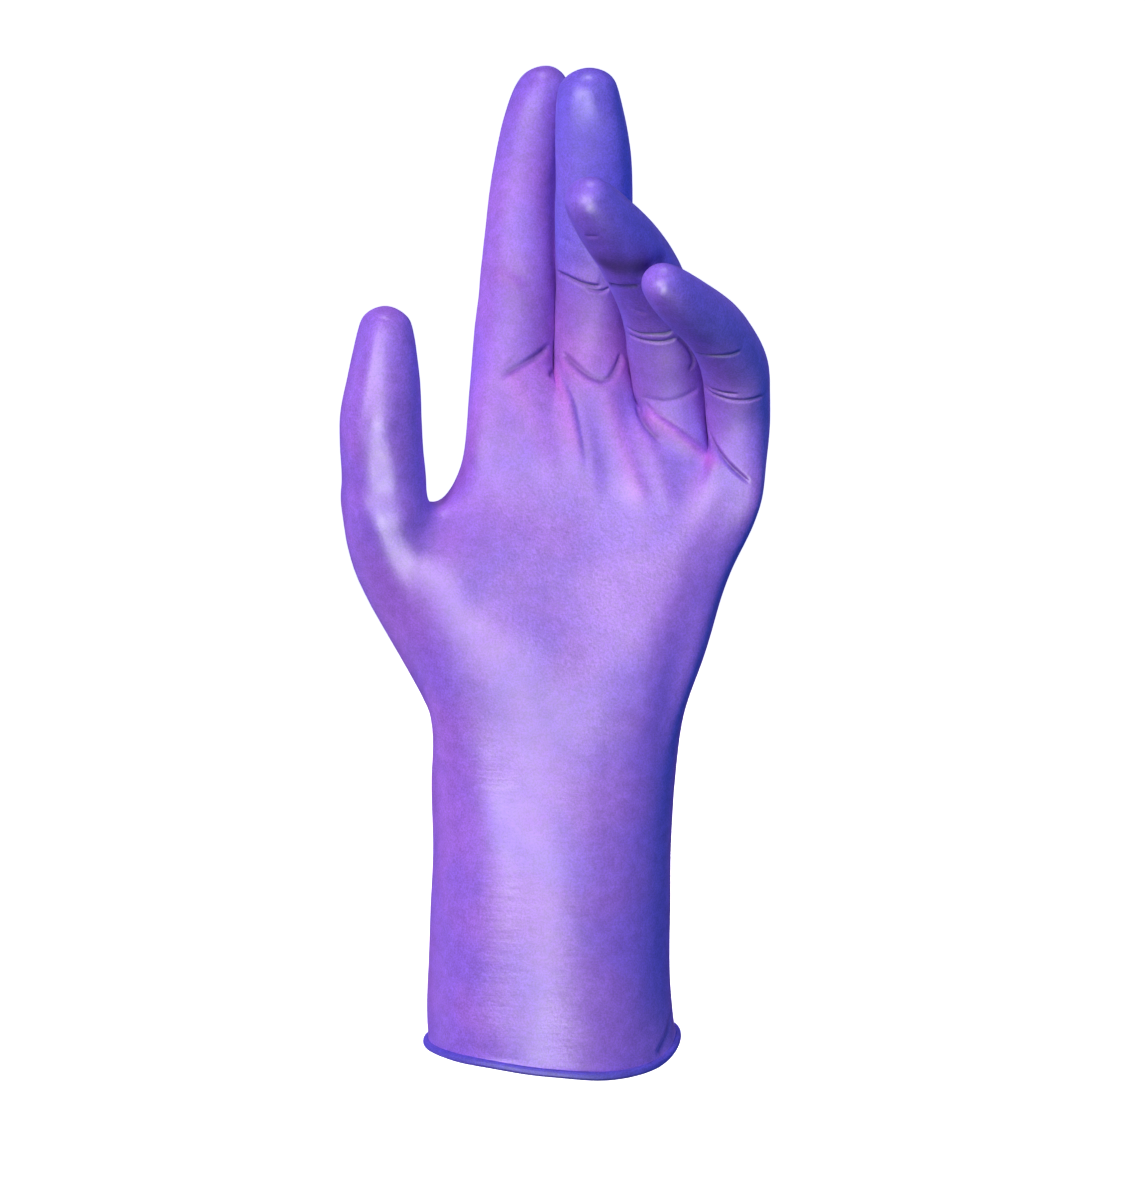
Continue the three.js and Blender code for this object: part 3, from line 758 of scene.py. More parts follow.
# Those of the back: points are X and Z
BACK_FOLDS = table(FOLD_COLUMNS, [
    ("index knuckle, upper", "index", 0.7, 0.16, 0.06, 0.06, 1.6, 3, [(-15.5, 214.5), (-10, 215.3),
     (-4.5, 214.5)]),
    ("index knuckle, middle", "index", 0.7, 0.24, 0.1, 0.1, 1.6, 3, [(-16.5, 211), (-10, 212),
     (-3.5, 211)]),
    ("index knuckle, lower", "index", 0.7, 0.18, 0.06, 0.06, 1.6, 3, [(-16, 207.5), (-10, 207),
     (-4, 207.8)]),
    ("index tip, back", "index", 0.6, 0.14, 0.05, 0.05, 1.4, 3, [(-13, 236.5), (-7, 237), (-1.5, 236.2)]),
    ("middle knuckle, upper", "middle", 0.7, 0.16, 0.06, 0.06, 1.6, 3, [(4.5, 217), (10, 217.8),
     (15, 217)]),
    ("middle knuckle, middle", "middle", 0.7, 0.24, 0.1, 0.1, 1.6, 3, [(4, 213.5), (10, 214.4),
     (16, 213.5)]),
    ("middle knuckle, lower", "middle", 0.7, 0.18, 0.06, 0.06, 1.6, 3, [(4.5, 210), (10, 209.6),
     (15.5, 210.4)]),
    ("ring knuckle", "ring", 0.7, 0.2, 0.08, 0.08, 1.6, 2.5, [(25, 203.5), (30, 203), (35, 200.5)]),
    ("little knuckle", "little", 0.7, 0.2, 0.08, 0.08, 1.6, 2.5, [(42, 187), (47, 186.5), (52, 184.5)]),
    ("thumb knuckle, upper", "thumb", 0.7, 0.2, 0.08, 0.08, 1.6, 3, [(-50.5, 170), (-45, 171),
     (-39.5, 170)]),
    ("thumb knuckle, lower", "thumb", 0.7, 0.2, 0.08, 0.08, 1.6, 3, [(-51, 166.5), (-45, 166.2),
     (-39.5, 167)]),
    ("index tendon", "any", 2.2, -0.3, 0, 0, 2, 14, [(-9, 176), (-7, 160), (-4, 140), (-1, 122)]),
    ("middle tendon", "any", 2.2, -0.35, 0, 0, 2, 14, [(11, 176), (10, 160), (9, 140), (7, 122)]),
    ("ring tendon", "any", 2.2, -0.3, 0, 0, 2, 14, [(29, 168), (26, 152), (21, 134), (16, 120)]),
    ("index and middle dip", "any", 3, 0.45, 0, 0, 2, 8, [(1, 172), (2.5, 160), (3, 146)]),
    ("middle and ring dip", "any", 3, 0.45, 0, 0, 2, 8, [(21, 167), (20, 155), (17, 140)]),
    ("ring and little dip", "any", 3, 0.45, 0, 0, 2, 8, [(39, 159), (36, 147), (30, 132)]),
    ("wrist bend, upper", "any", 1.3, 0.22, 0.1, 0.1, 2.5, 8, [(-24, 110), (-10, 107), (8, 106.5),
     (25, 110)]),
    ("wrist bend, lower", "any", 1.1, 0.16, 0.08, 0.08, 2.2, 7, [(-20, 103), (-6, 101), (10, 101.5),
     (20, 103.5)]),
])

# How pink the film is made for each millimetre that a fold stands out: partly the stretched film's paler
# colour and partly painted light on the ridges
PALM_LIT_PINK = 0.3
BACK_LIT_PINK = 0.2
FOLD_LIT_PINKS = {
    "palm ridge": 0.65,
    "index base": 0.75,
    "index base ray": 0.6,
    "middle base": 0.6,
    "ring base crest": 0.7,
    "fan, first": 0.2,
    "fan, second": 0.7,
    "fan, third": 0.4,
    "heel band": 0.0,
    "thumb root": 0.0,
}

# Painted shade in the folds: how dark a groove is painted. A narrow one is as dark as it is deep, up to
# DARKEST, and a wide one not at all, except for these, some of which paint a broad shade.
NARROW = 0.75
DARKEST = 0.7
FOLD_SHADE_PAINTS = {
    "index joint": 0.1,
    "index base": 0.6,
    "middle base": 0.5,
    "palm ridge": 0.12,
    "ring base, upper": 0.1,
    "ring tip joint": 0.8,
    "ring middle fold": 0.6,
    "ring shade": 0.9,
    "little tip joint": 0.65,
    "little joint": 0.6,
    "little joint, lower": 0.6,
    "wrist hollow": 0.09,
    "cuff pucker": 0.3,
}

# Spacing of the points that a fold's line is worked out at, how far from the film's middle the rays
# to it start, and how much of a face is in a finger for it to be the finger's own
FOLD_STEP = 0.3
RAY_START = 200.0
OWN_SHARE = 0.3

# How a fold dies away: over the turn of the film from facing its way, over its finger's share of the
# film, and at so many reaches of its bulge and widths of its groove
FOLD_FACING = (-0.2, 0.3)
FOLD_SHARE = (0.1, 0.4)
FOLD_REACHES = 4
FOLD_WIDTHS = 3

# Faces near to a fold no wider than SPLIT_WIDEST are split, each side into SPLIT parts. Near is within
# SPLIT_REACH widths and SPLIT_MARGIN, where the fold has at least SPLIT_WEIGHT of its height.
SPLIT = 4
SPLIT_WIDEST = 1.2
SPLIT_REACH = 2.0
SPLIT_MARGIN = 0.4
SPLIT_WEIGHT = 0.02


def smooth_line(corners, step):
    """A smooth line through the corners, with a point every step."""
    corners = np.array(corners, float)
    padded = np.vstack([2 * corners[0] - corners[1], corners, 2 * corners[-1] - corners[-2]])
    pieces = []
    for near in zip(padded, padded[1:], padded[2:], padded[3:]):
        count = max(1, int(np.linalg.norm(near[2] - near[1]) / step))
        pieces.append(curve(*near, np.linspace(0, 1, count, endpoint=False)[:, None]))
    return np.vstack(pieces + [corners[-1:]])


# How dark the shade painted in a fold's groove is
def fold_shade_paint(fold):
    crease = fold["width"] <= NARROW and fold["groove"] > 0
    usual = min(DARKEST, fold["groove"]) if crease else 0.0
    return FOLD_SHADE_PAINTS.get(fold["name"], usual)


def seen_place(tree, pixel):
    """X and Z of the film where the camera sees it at a pixel of the photograph."""
    size = VIEW_HEIGHT / PHOTO_HEIGHT
    across = (pixel[0] - PHOTO_WIDTH / 2) * size
    up = (PHOTO_HEIGHT / 2 - pixel[1]) * size
    level = CAMERA_DISTANCE * math.cos(CAMERA_ELEVATION) + up * math.sin(CAMERA_ELEVATION)
    rise = up * math.cos(CAMERA_ELEVATION) - CAMERA_DISTANCE * math.sin(CAMERA_ELEVATION)
    place = tree.ray_cast(eye_place(), Vector((across, level, rise)).normalized())[0]
    return place.x, place.z


def trace_fold(fold, corners, way, tree):
    """A fold's line on the film, seen from the palm's side if way is 1 and the back's if -1."""
    places = []
    normals = []
    for x, z in smooth_line(corners, FOLD_STEP):
        start = Vector((x, -RAY_START * way, z))
        place, normal, _, _ = tree.ray_cast(start, Vector((0, way, 0)))
        if place is not None:
            places.append(place)
            normals.append(normal)
    places = np.array(places)
    normals = np.array(normals)
    left = np.cross(normals, way * np.gradient(places, axis=0))
    left /= np.linalg.norm(left, axis=1)[:, None]
    lengths = np.linalg.norm(np.diff(places, axis=0), axis=1)
    run = np.concatenate([[0.0], np.cumsum(lengths)])
    return fold, places, left, normals, run


def trace_folds(points, quads, shares):
    """Each fold's line on the film, with the direction to its left and the film's normal."""
    trees = {"any": BVHTree.FromPolygons(points.tolist(), quads.tolist())}
    for name in FINGER_NAMES:
        own = quads[(shares[name][quads] > OWN_SHARE).all(axis=1)]
        trees[name] = BVHTree.FromPolygons(points.tolist(), own.tolist())
    traced = []
    for rows, way, pink in ((PALM_FOLDS, 1, PALM_LIT_PINK), (BACK_FOLDS, -1, BACK_LIT_PINK)):
        for row in rows:
            corners = row["points"]
            if rows is PALM_FOLDS:
                corners = [seen_place(trees["any"], pixel) for pixel in corners]
            fold = {**row, "shade_paint": fold_shade_paint(row), "pink": FOLD_LIT_PINKS.get(row["name"], pink)}
            traced.append(trace_fold(fold, corners, way, trees[row["finger"]]))
    return traced


def near_fold(line, points, normals, shares, reach):
    """Which points are near a fold's line: their number, their signed distance and their weight."""
    fold, places, left, facing, run = line
    low = places.min(axis=0) - reach
    high = places.max(axis=0) + reach
    chosen = np.flatnonzero(((points > low) & (points < high)).all(axis=1))
    apart = points[chosen][:, None, :] - places[None, :, :]
    distance = np.linalg.norm(apart, axis=2)
    nearest = distance.argmin(axis=1)
    row = np.arange(len(chosen))
    distance = distance[row, nearest]
    side = np.sign((apart[row, nearest] * left[nearest]).sum(axis=1))
    ends = np.minimum(run[nearest], run[-1] - run[nearest])
    weight = smoothstep(0.0, fold["fade"], ends)
    weight *= smoothstep(*FOLD_FACING, (normals[chosen] * facing[nearest]).sum(axis=1))
    if fold["finger"] != "any":
        weight *= smoothstep(*FOLD_SHARE, shares[fold["finger"]][chosen])
    keep = distance < reach
    return chosen[keep], (side * distance)[keep], weight[keep]


def fold_heights(lines, points, normals, shares):
    """How far the folds move each point out, how pink they make it, partly as painted light, and the shade
    painted dark in them.
    """
    heights = np.zeros(len(points))
    lit_pinks = np.zeros(len(points))
    shade_paints = np.zeros(len(points))
    for line in lines:
        fold = line[0]
        reach = FOLD_REACHES * fold["reach"] + FOLD_WIDTHS * fold["width"]
        chosen, s, weight = near_fold(line, points, normals, shares, reach)
        away = np.abs(s)
        hollow = np.exp(-((away / fold["width"]) ** 2))
        # Painted shade, darkest along the middle of the groove
        shade_paints[chosen] += fold["shade_paint"] * hollow * weight
        height = -fold["groove"] * hollow
        bulge = (1 - np.exp(-away / fold["width"])) * np.exp(-away / fold["reach"])
        height += np.where(s > 0, fold["above"], fold["below"]) * bulge
        heights[chosen] += height * weight
        # Pinker where the fold stands out: partly the stretched film's colour, partly painted light
        lit_pinks[chosen] += fold["pink"] * np.maximum(height, 0.0) * weight
    return heights, np.clip(lit_pinks, 0.0, 1.0), np.clip(shade_paints, 0.0, 1.0)


def faces_to_split(lines, points, quads, normals, shares):
    near = np.zeros(len(points), bool)
    for line in lines:
        if line[0]["width"] > SPLIT_WIDEST:
            continue
        reach = SPLIT_REACH * line[0]["width"] + SPLIT_MARGIN
        chosen, _, weight = near_fold(line, points, normals, shares, reach)
        near[chosen[weight > SPLIT_WEIGHT]] = True
    edges, on_rim = mesh_edges(quads)
    rim = np.zeros(len(points), bool)
    rim[edges[on_rim].ravel()] = True
    return near[quads].any(axis=1) & ~rim[quads].any(axis=1)


def bend(weights, corners, normals):
    """A point between corners, lifted off the flat face on to the round surface they are on."""
    flat = weights @ corners
    lift = ((flat - corners) * normals).sum(axis=1) * weights
    return flat - 0.5 * lift @ normals


def split_faces(points, quads, shares, chosen):
    """The chosen faces in SPLIT by SPLIT parts. Faces beside them take up the new points."""
    normals = quad_normals(points, quads)
    places = list(points)
    carried = np.array([shares[name] for name in FINGER_NAMES]).T
    carried_rows = list(carried)
    on_edge = {}
    steps = range(1, SPLIT)

    def add(indices, weights):
        corners = points[list(indices)]
        places.append(bend(weights, corners, normals[list(indices)]))
        carried_rows.append(weights @ carried[list(indices)])
        return len(places) - 1

    def edge_points(a, b, make=True):
        key = (min(a, b), max(a, b))
        if make and key not in on_edge:
            on_edge[key] = [add(key, np.array([1 - k / SPLIT, k / SPLIT])) for k in steps]
        made = on_edge.get(key, [])
        return made if a < b else made[::-1]

    faces = []
    for a, b, c, d in quads[chosen].tolist():
        bottom = [a] + edge_points(a, b) + [b]
        top = [d] + edge_points(d, c) + [c]
        left = [a] + edge_points(a, d) + [d]
        right = [b] + edge_points(b, c) + [c]
        grid = [bottom]
        for j in steps:
            v = j / SPLIT
            row = [left[j]]
            for i in steps:
                u = i / SPLIT
                weights = np.array([(1 - u) * (1 - v), u * (1 - v), u * v, (1 - u) * v])
                row.append(add((a, b, c, d), weights))
            row.append(right[j])
            grid.append(row)
        grid.append(top)
        for low, high in zip(grid, grid[1:]):
            for i in range(SPLIT):
                faces.append((low[i], low[i + 1], high[i + 1], high[i]))
    for quad in quads[~chosen].tolist():
        face = []
        for k in range(4):
            a, b = quad[k], quad[(k + 1) % 4]
            face.append(a)
            face += edge_points(a, b, make=False)
        faces.append(tuple(face))
    carried = np.array(carried_rows).T
    return np.array(places), faces, dict(zip(FINGER_NAMES, carried))


def face_normals(points, faces):
    """The normal at each point of a mesh of any faces."""
    mesh = bpy.data.meshes.new("normals")
    mesh.from_pydata(points.tolist(), [], faces)
    values = np.empty(len(points) * 3)
    mesh.vertex_normals.foreach_get("vector", values)
    bpy.data.meshes.remove(mesh)
    return values.reshape(-1, 3)


# Inside and bead

FILM_THICKNESS = 1.0

# The bead's section is a round of BEAD_RADIUS, with its centre BEAD_OUT and BEAD_DOWN from the film's
# rim, that runs from BEAD_START to BEAD_END in degrees
BEAD_RADIUS = 1.1
BEAD_OUT = 0.45
BEAD_DOWN = 1.1
BEAD_START = 113.0
BEAD_END = -205.0
BEAD_STEPS = 30

# The edge of the rolled film along the bead: its angle, its width in degrees and its depth
BEAD_EDGE = (8.0, 9.0, 0.09)

# How the bead's thickness varies round the rim: waves round it, height and place
BEAD_WAVES = ((2, 0.05, 0.4), (5, 0.035, 1.9), (11, 0.02, 0.7))


def rim_loop(quads):
    """The points of the rim, in order round it."""
    after = {}
    seen = set()
    for quad in quads.tolist():
        for k in range(4):
            seen.add((quad[k], quad[(k + 1) % 4]))
    for a, b in seen:
        if (b, a) not in seen:
            after[a] = b
    loop = [min(after)]
    while after[loop[-1]] != loop[0]:
        loop.append(after[loop[-1]])
    return loop


def turned_to(loop, points, place):
    """The loop, begun at its point nearest to a place."""
    first = int(np.linalg.norm(points[loop] - place, axis=1).argmin())
    return loop[first:] + loop[:first]


def bead_profile(turn):
    """The bead's section at a place round the rim, as millimetres out and up from the film's rim."""
    size = 1 + sum(height * math.sin(waves * turn + place) for waves, height, place in BEAD_WAVES)
    edge, width, depth = BEAD_EDGE
    section = []
    for angle in np.linspace(BEAD_START, BEAD_END, BEAD_STEPS):
        radius = BEAD_RADIUS * size - depth * math.exp(-(((angle - edge) / width) ** 2))
        a = math.radians(angle)
        section.append((BEAD_OUT + radius * math.cos(a), radius * math.sin(a) - BEAD_DOWN * size))
    return section


# The whole film

# Painted shade, darker and bluer, on the upper parts of the fingers: the heights it starts and is full at,
# and how much
FINGER_SHADE = table("finger start end share", [
    ("middle", 196, 225, 0.62),
    ("ring", 180, 215, 0.4),
    ("little", 172, 198, 0.25),
    ("index", 225, 255, 0.25),
])

# Where the film is rougher: the heights it starts and is full at on the fingers and ends at on their
# tips, and the heights and the share by which the tips of the curled fingers are smooth again
ROUGH_START = (148.0, 172.0)
ROUGH_END = (244.0, 255.0)
CURLED = ("ring", "little")
CURLED_TIPS = (192.0, 210.0)
CURLED_SMOOTH = 0.9

# The film is even next to the bead, and gets its unevenness over these heights above the rim
EVEN_RIM = (2.0, 8.0)

# Where the rim's loop of points begins, behind the cuff
RIM_START = (0.0, 30.0, 0.0)


def colour_layers(points, shares, lit_pinks, shade_paints):
    """How strong each part of the material is at each point of the outside: pinker crests that are partly
    painted light, painted shade in the creases and on the fingers, and rougher film.
    """
    heights = points[:, 2]
    finger_shade = np.zeros(len(points))
    for row in FINGER_SHADE:
        finger_shade += row["share"] * smoothstep(row["start"], row["end"], heights) * shares[row["finger"]]
    rough = smoothstep(*ROUGH_START, heights) * (1 - smoothstep(*ROUGH_END, heights))
    curled_tips = smoothstep(*CURLED_TIPS, heights) * sum(shares[name] for name in CURLED)
    rough *= 1 - shares["thumb"] - CURLED_SMOOTH * curled_tips
    return {"crest": lit_pinks, "crease": shade_paints, "finger_shade": finger_shade, "rougher": np.maximum(rough, shade_paints)}


def build_outside(cage, quads, owners):
    """The outer surface with its folds, its normals, its rim and the material's layers."""
    points, quads, shares = smooth_surface(cage, quads, owners, FINE_LEVELS)
    points = even_out(points, quads, shares)
    points = close_gaps(points, quads)
    rim = turned_to(rim_loop(quads), points, np.array(RIM_START))
    lines = trace_folds(points, quads, shares)
    normals = quad_normals(points, quads)
    chosen = faces_to_split(lines, points, quads, normals, shares)
    points, faces, shares = split_faces(points, quads, shares, chosen)
    normals = face_normals(points, faces)
    heights, lit_pinks, shade_paints = fold_heights(lines, points, normals, shares)
    uneven = smoothstep(*EVEN_RIM, points[:, 2] - points[rim][:, 2].mean())
    points = points + (roughen(points, normals) - points) * uneven[:, None]
    points = points + normals * heights[:, None]
    return points, faces, normals, rim, colour_layers(points, shares, lit_pinks, shade_paints)


def build_film():
    """The film's outside, its inside and the bead that joins them, and the material's layers."""
    cage, cage_quads, owners = build_cage()
    cage = fit_cage(cage, cage_quads)
    points, faces, normals, rim, outside_layers = build_outside(cage, cage_quads, owners)
    outside_count = len(points)

    inner, inner_quads, _ = smooth_surface(cage, cage_quads, owners, COARSE_LEVELS)
    inner_rim = turned_to(rim_loop(inner_quads), inner, points[rim[0]])
    inner = inner - quad_normals(inner, inner_quads) * FILM_THICKNESS

    places = list(points) + list(inner)
    faces += [tuple(i + outside_count for i in quad[::-1]) for quad in inner_quads.tolist()]
    inner_rim = [i + outside_count for i in inner_rim]
    first_bead = len(places)

    columns = []
    for k, index in enumerate(rim):
        outward = unit(normals[index] * np.array([1.0, 1.0, 0.0]))
        column = [index]
        for out, up in bead_profile(2 * math.pi * k / len(rim)):
            places.append(points[index] + outward * out + np.array([0.0, 0.0, up]))
            column.append(len(places) - 1)
        columns.append(column)
    for k, column in enumerate(columns):
        following = columns[(k + 1) % len(columns)]
        for i in range(len(column) - 1):
            faces.append((column[i], column[i + 1], following[i + 1], following[i]))
    for k, index in enumerate(inner_rim):
        a = columns[2 * k][-1]
        b = columns[2 * k + 1][-1]
        c = columns[(2 * k + 2) % len(columns)][-1]
        d = inner_rim[(k + 1) % len(inner_rim)]
        faces += [(index, b, a), (index, d, b), (d, c, b)]

    layers = {"bead": np.zeros(len(places))}
    layers["bead"][first_bead:] = 1.0
    for name, values in outside_layers.items():
        layers[name] = np.zeros(len(places))
        layers[name][:outside_count] = values
    return np.array(places), faces, layers


def make_glove():
    places, faces, layers = build_film()
    mesh = bpy.data.meshes.new("glove_film")
    mesh.from_pydata((places * MM).tolist(), [], faces)
    mesh.polygons.foreach_set("use_smooth", [True] * len(mesh.polygons))
    for name, values in layers.items():
        layer = mesh.attributes.new(name, "FLOAT", "POINT")
        layer.data.foreach_set("value", values)
    mesh.update()
    glove = bpy.data.objects.new("glove_film", mesh)
    bpy.context.scene.collection.objects.link(glove)
    return glove


glove = make_glove()


# Material

# Colours of the film, as linear red, green and blue
FILM_BLUISH = (0.405, 0.195, 0.75, 1.0)
FILM_PINKISH = (0.49, 0.208, 0.715, 1.0)
# Pink for raised folds: partly the stretched film's colour, partly painted light
FILM_LIT_CREST = (0.74, 0.17, 0.69, 1.0)
# Painted shade for creases and shaded hollows
FILM_CREASE_SHADE = (0.1, 0.02, 0.24, 1.0)
# Painted shade for the upper parts of the fingers
FILM_FINGER_SHADE = (0.14, 0.14, 0.73, 1.0)
FILM_BEAD = (0.13, 0.09, 0.56, 1.0)

# Sizes of the film's patterns in metres, the ranges of their noise that are used, and how far each
# takes the tone or the gloss up and down
CLOUD_SIZE = 0.022
CLOUD_RANGE = (0.35, 0.65)
NOISE_RANGE = (0.3, 0.7)
BLOTCH_SIZE = 0.003
BLOTCH_TONE = (0.93, 1.07)
GRAIN_SIZE = 0.0005
GRAIN_TONE = (0.83, 1.17)
GLOSS_SIZE = 0.006
GLOSS = (0.36, 0.43)
ROUGHER = 1.5

# The relief's sizes and heights in metres, and the heights that the cuff's ends and the palm's starts at
LEVEL_SIZE = 0.0022
LEVEL_HEIGHT = 0.00012
UPRIGHT_SIZE = 0.0018
UPRIGHT_HEIGHT = 0.00003
STIPPLE_SIZE = 0.0008
STIPPLE_HEIGHT = 0.00006
CUFF_ENDS = (0.075, 0.1)
PALM_STARTS = (0.09, 0.11)


def film_material():
    material = bpy.data.materials.new("nitrile film")
    material.use_nodes = True
    nodes = material.node_tree.nodes
    links = material.node_tree.links
    shader = nodes["Principled BSDF"]
    place = nodes.new("ShaderNodeTexCoord").outputs["Object"]

    def pattern(size, stretch=(1.0, 1.0, 1.0), detail=2.0, roughness=0.5):
        """Smooth noise about size metres across, longer by stretch along each axis."""
        mapping = nodes.new("ShaderNodeMapping")
        mapping.inputs["Scale"].default_value = [1 / (size * s) for s in stretch]
        links.new(place, mapping.inputs["Vector"])
        texture = nodes.new("ShaderNodeTexNoise")
        texture.inputs["Scale"].default_value = 1.0
        texture.inputs["Detail"].default_value = detail
        texture.inputs["Roughness"].default_value = roughness
        links.new(mapping.outputs["Vector"], texture.inputs["Vector"])
        return texture.outputs["Fac"]

    def spread(value, low, high, to_low, to_high):
        ramp = nodes.new("ShaderNodeMapRange")
        ramp.interpolation_type = "SMOOTHSTEP"
        for name, number in (
            ("From Min", low),
            ("From Max", high),
            ("To Min", to_low),
            ("To Max", to_high),
        ):
            ramp.inputs[name].default_value = number
        links.new(value, ramp.inputs["Value"])
        return ramp.outputs["Result"]

    def feed(socket, value):
        if hasattr(value, "links"):
            links.new(value, socket)
        else:
            socket.default_value = value

    def mixed(share, first, second):
        mix = nodes.new("ShaderNodeMix")
        mix.data_type = "RGBA"
        for value, socket in ((share, 0), (first, 6), (second, 7)):
            feed(mix.inputs[socket], value)
        return mix.outputs[2]

    def product(first, second):
        times = nodes.new("ShaderNodeMath")
        times.operation = "MULTIPLY"
        feed(times.inputs[0], first)
        feed(times.inputs[1], second)
        return times.outputs[0]

    def layer(name):
        attribute = nodes.new("ShaderNodeAttribute")
        attribute.attribute_name = name
        return attribute.outputs["Fac"]

    def bumped(height, distance, under=None):
        bump = nodes.new("ShaderNodeBump")
        bump.inputs["Distance"].default_value = distance
        links.new(height, bump.inputs["Height"])
        if under is not None:
            links.new(under, bump.inputs["Normal"])
        return bump.outputs["Normal"]

    # Colour: pink and blue clouds, pinker crests that are partly painted light, painted shade on the
    # fingers, a bluer bead, painted shade in the creases, and grain
    clouds = spread(pattern(CLOUD_SIZE, detail=3.0), *CLOUD_RANGE, 0.0, 1.0)
    colour = mixed(clouds, FILM_BLUISH, FILM_PINKISH)
    # Pinker on raised folds: partly the stretched film's colour, partly painted light
    colour = mixed(layer("crest"), colour, FILM_LIT_CREST)
    # Painted shade, darker and bluer, on the upper parts of the fingers
    colour = mixed(layer("finger_shade"), colour, FILM_FINGER_SHADE)
    bead = layer("bead")
    colour = mixed(bead, colour, FILM_BEAD)
    # Painted shade in the creases and hollows
    colour = mixed(layer("crease"), colour, FILM_CREASE_SHADE)
    blotches = spread(pattern(BLOTCH_SIZE), *NOISE_RANGE, *BLOTCH_TONE)
    grain = spread(pattern(GRAIN_SIZE, roughness=0.7), *NOISE_RANGE, *GRAIN_TONE)
    tone = nodes.new("ShaderNodeVectorMath")
    tone.operation = "SCALE"
    links.new(colour, tone.inputs[0])
    links.new(product(blotches, grain), tone.inputs["Scale"])
    links.new(tone.outputs["Vector"], shader.inputs["Base Color"])

    # Gloss: satin, a little uneven
    height = nodes.new("ShaderNodeSeparateXYZ")
    links.new(place, height.inputs["Vector"])
    gloss = spread(pattern(GLOSS_SIZE, detail=3.0), *NOISE_RANGE, *GLOSS)
    on_fingers = spread(layer("rougher"), 0.0, 1.0, 1.0, ROUGHER)
    on_bead = spread(bead, 0.0, 1.0, 1.0, ROUGHER)
    gloss = product(gloss, product(on_fingers, on_bead))
    links.new(gloss, shader.inputs["Roughness"])

    # Relief: fine stipple, level creases on the cuff and upright ones on the palm
    on_cuff = spread(height.outputs["Z"], *CUFF_ENDS, 1.0, 0.0)
    on_palm = spread(height.outputs["Z"], *PALM_STARTS, 0.0, 1.0)
    level = product(pattern(LEVEL_SIZE, stretch=(7.0, 7.0, 1.0), detail=4.0, roughness=0.6), on_cuff)
    upright = product(pattern(UPRIGHT_SIZE, stretch=(1.0, 1.0, 6.0), detail=3.0), on_palm)
    relief = bumped(level, LEVEL_HEIGHT)
    relief = bumped(upright, UPRIGHT_HEIGHT, relief)
    relief = bumped(pattern(STIPPLE_SIZE, detail=3.0, roughness=0.65), STIPPLE_HEIGHT, relief)
    links.new(relief, shader.inputs["Normal"])
    return material


glove.data.materials.append(film_material())


# Stage and lights

def polar(azimuth, elevation, distance):
    """A place round the glove in metres: azimuth 0 is in front, positive towards +X."""
    a = math.radians(azimuth)
    e = math.radians(elevation)
    flat = distance * math.cos(e)
    centre = Vector(CAMERA_AIM) * MM
    return centre + Vector((flat * math.sin(a), -flat * math.cos(a), distance * math.sin(e)))


# The soft lights: diffuse ones give the film its tone, and glossy ones only its highlights
LIGHTS = table("name azimuth elevation distance size power colour diffuse glossy", [
    ("key", -28, 30, 1.5, 0.6, 17.2, (1.0, 0.77, 0.9), True, False),
    ("side fill", 38, 25, 1.5, 0.6, 5.6, (0.15, 0.75, 1.0), True, False),
    ("thumb side fill", -95, 8, 1.5, 0.6, 6.5, (0.12, 0.55, 1.0), True, False),
    ("front highlight", -6, 4, 1.5, 0.6, 13.0, (1.0, 1.0, 1.0), False, True),
    ("side highlight", -32, 4, 1.5, 0.6, 17.0, (1.0, 1.0, 1.0), False, True),
    ("floor highlight", 0, -30, 1.5, 0.6, 27.0, (1.0, 1.0, 1.0), False, True),
    ("top highlight", -12, 72, 1.5, 0.35, 7.0, (1.0, 1.0, 1.0), False, True),
    ("back light", -165, 30, 1.5, 0.8, 13.0, (1.0, 0.79, 0.94), True, False),
    ("little finger side light", 142, 15, 1.5, 0.8, 7.0, (1.0, 0.79, 1.0), True, False),
    ("thumb side low light", -115, -30, 1.5, 0.8, 7.0, (1.0, 0.72, 0.95), True, False),
    ("back highlight", 180, -25, 1.5, 0.6, 9.0, (1.0, 1.0, 1.0), False, True),
])


def make_light(row):
    data = bpy.data.lights.new(row["name"], "AREA")
    data.shape = "DISK"
    data.size = row["size"]
    data.energy = row["power"]
    data.color = row["colour"]
    light = bpy.data.objects.new(row["name"], data)
    light.location = polar(row["azimuth"], row["elevation"], row["distance"])
    aim = Vector(CAMERA_AIM) * MM - light.location
    light.rotation_euler = aim.to_track_quat("-Z", "Y").to_euler()
    light.visible_camera = False
    light.visible_diffuse = row["diffuse"]
    light.visible_glossy = row["glossy"]
    bpy.context.scene.collection.objects.link(light)


STAGE_RADIUS = 3.0
STAGE_BEND = 1.2
STAGE_HEIGHT = 3.4
FLOOR_DROP = 0.09
STAGE_STEPS = 24
STAGE_AROUND = 96
STAGE_COLOUR = (0.9, 0.9, 0.9, 1.0)
STAGE_ROUGHNESS = 0.9
STAGE_GLOW_COLOUR = (1.0, 1.0, 1.0, 1.0)
STAGE_GLOW = 0.97

# The air's own light, which fills the film's shadows
AIR_COLOUR = (0.03, 0.12, 1.0, 1.0)
AIR_LIGHT = 0.24


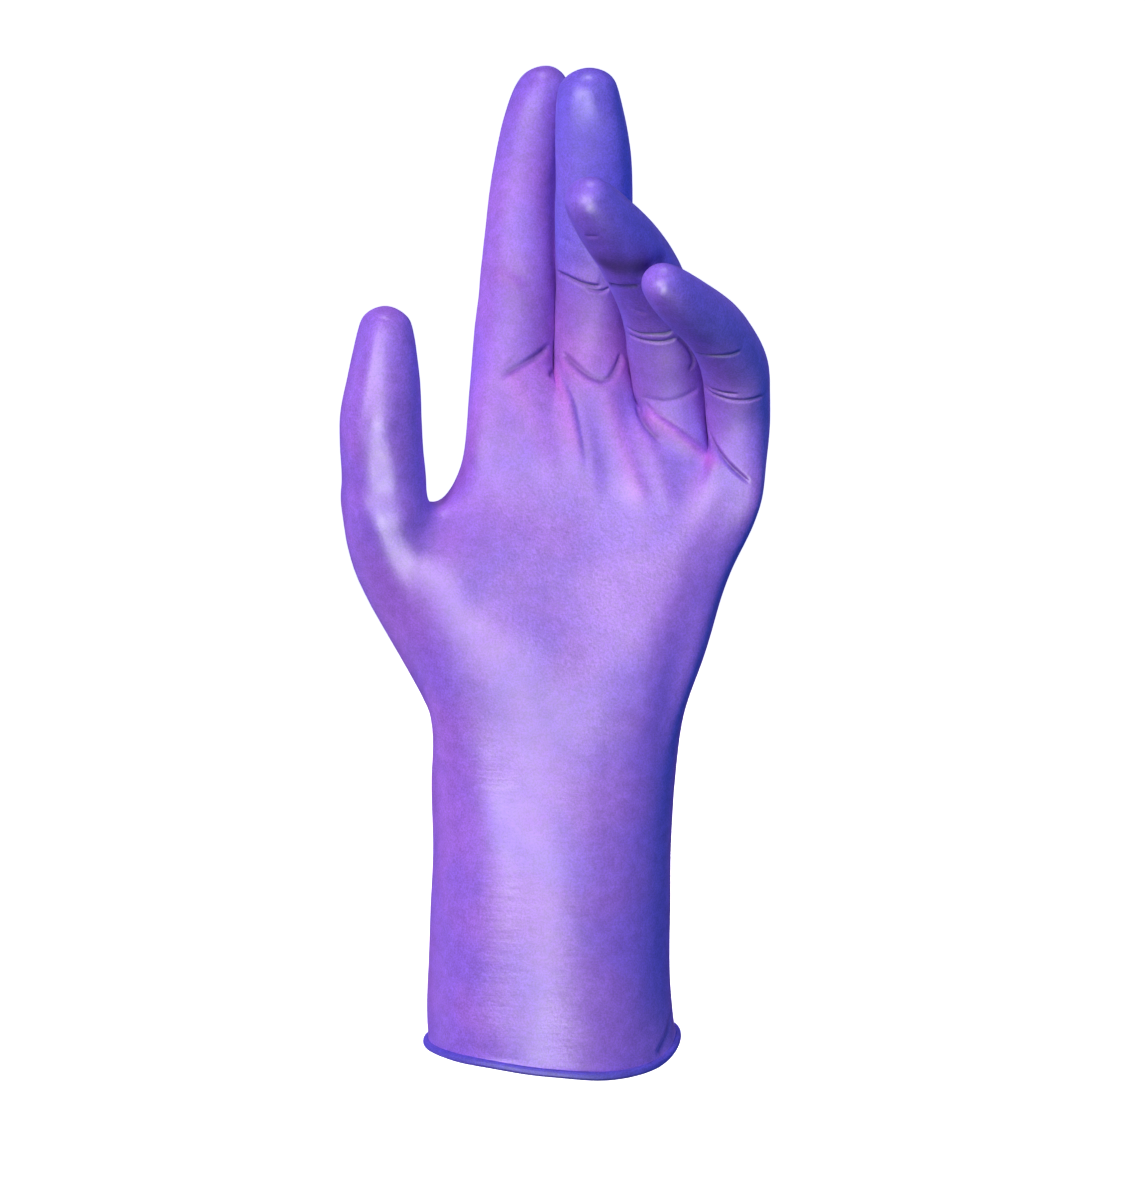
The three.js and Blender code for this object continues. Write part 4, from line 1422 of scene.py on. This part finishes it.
def make_stage():
    """A pale floor that bends up into a wall all round."""
    profile = [(STAGE_RADIUS - STAGE_BEND, 0.0)]
    for k in range(1, STAGE_STEPS + 1):
        turn = math.pi / 2 * k / STAGE_STEPS
        out = STAGE_RADIUS - STAGE_BEND + STAGE_BEND * math.sin(turn)
        profile.append((out, STAGE_BEND * (1 - math.cos(turn))))
    profile.append((STAGE_RADIUS, STAGE_HEIGHT))
    points = [(0.0, 0.0, -FLOOR_DROP)]
    faces = []
    for radius, height in profile:
        for k in range(STAGE_AROUND):
            turn = 2 * math.pi * k / STAGE_AROUND
            points.append((radius * math.cos(turn), radius * math.sin(turn), height - FLOOR_DROP))
    for k in range(STAGE_AROUND):
        following = (k + 1) % STAGE_AROUND
        faces.append((0, 1 + k, 1 + following))
        for ring in range(len(profile) - 1):
            a = 1 + ring * STAGE_AROUND + k
            b = 1 + ring * STAGE_AROUND + following
            faces.append((a, a + STAGE_AROUND, b + STAGE_AROUND, b))
    mesh = bpy.data.meshes.new("stage")
    mesh.from_pydata(points, [], faces)
    mesh.polygons.foreach_set("use_smooth", [True] * len(mesh.polygons))
    stage = bpy.data.objects.new("stage", mesh)
    bpy.context.scene.collection.objects.link(stage)
    material = bpy.data.materials.new("pale stage")
    material.use_nodes = True
    shader = material.node_tree.nodes["Principled BSDF"]
    shader.inputs["Base Color"].default_value = STAGE_COLOUR
    shader.inputs["Roughness"].default_value = STAGE_ROUGHNESS
    shader.inputs["Emission Color"].default_value = STAGE_GLOW_COLOUR
    shader.inputs["Emission Strength"].default_value = STAGE_GLOW
    stage.data.materials.append(material)
    stage.visible_diffuse = False
    stage.visible_glossy = False
    stage.visible_shadow = False


def make_world():
    world = bpy.data.worlds.new("studio air")
    world.use_nodes = True
    background = world.node_tree.nodes["Background"]
    background.inputs["Color"].default_value = AIR_COLOUR
    background.inputs["Strength"].default_value = AIR_LIGHT
    world.cycles_visibility.glossy = False
    bpy.context.scene.world = world


make_camera()
for row in LIGHTS:
    make_light(row)
make_stage()
make_world()
bpy.context.scene.view_settings.view_transform = "Standard"

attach(glove, "root")
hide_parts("glove")
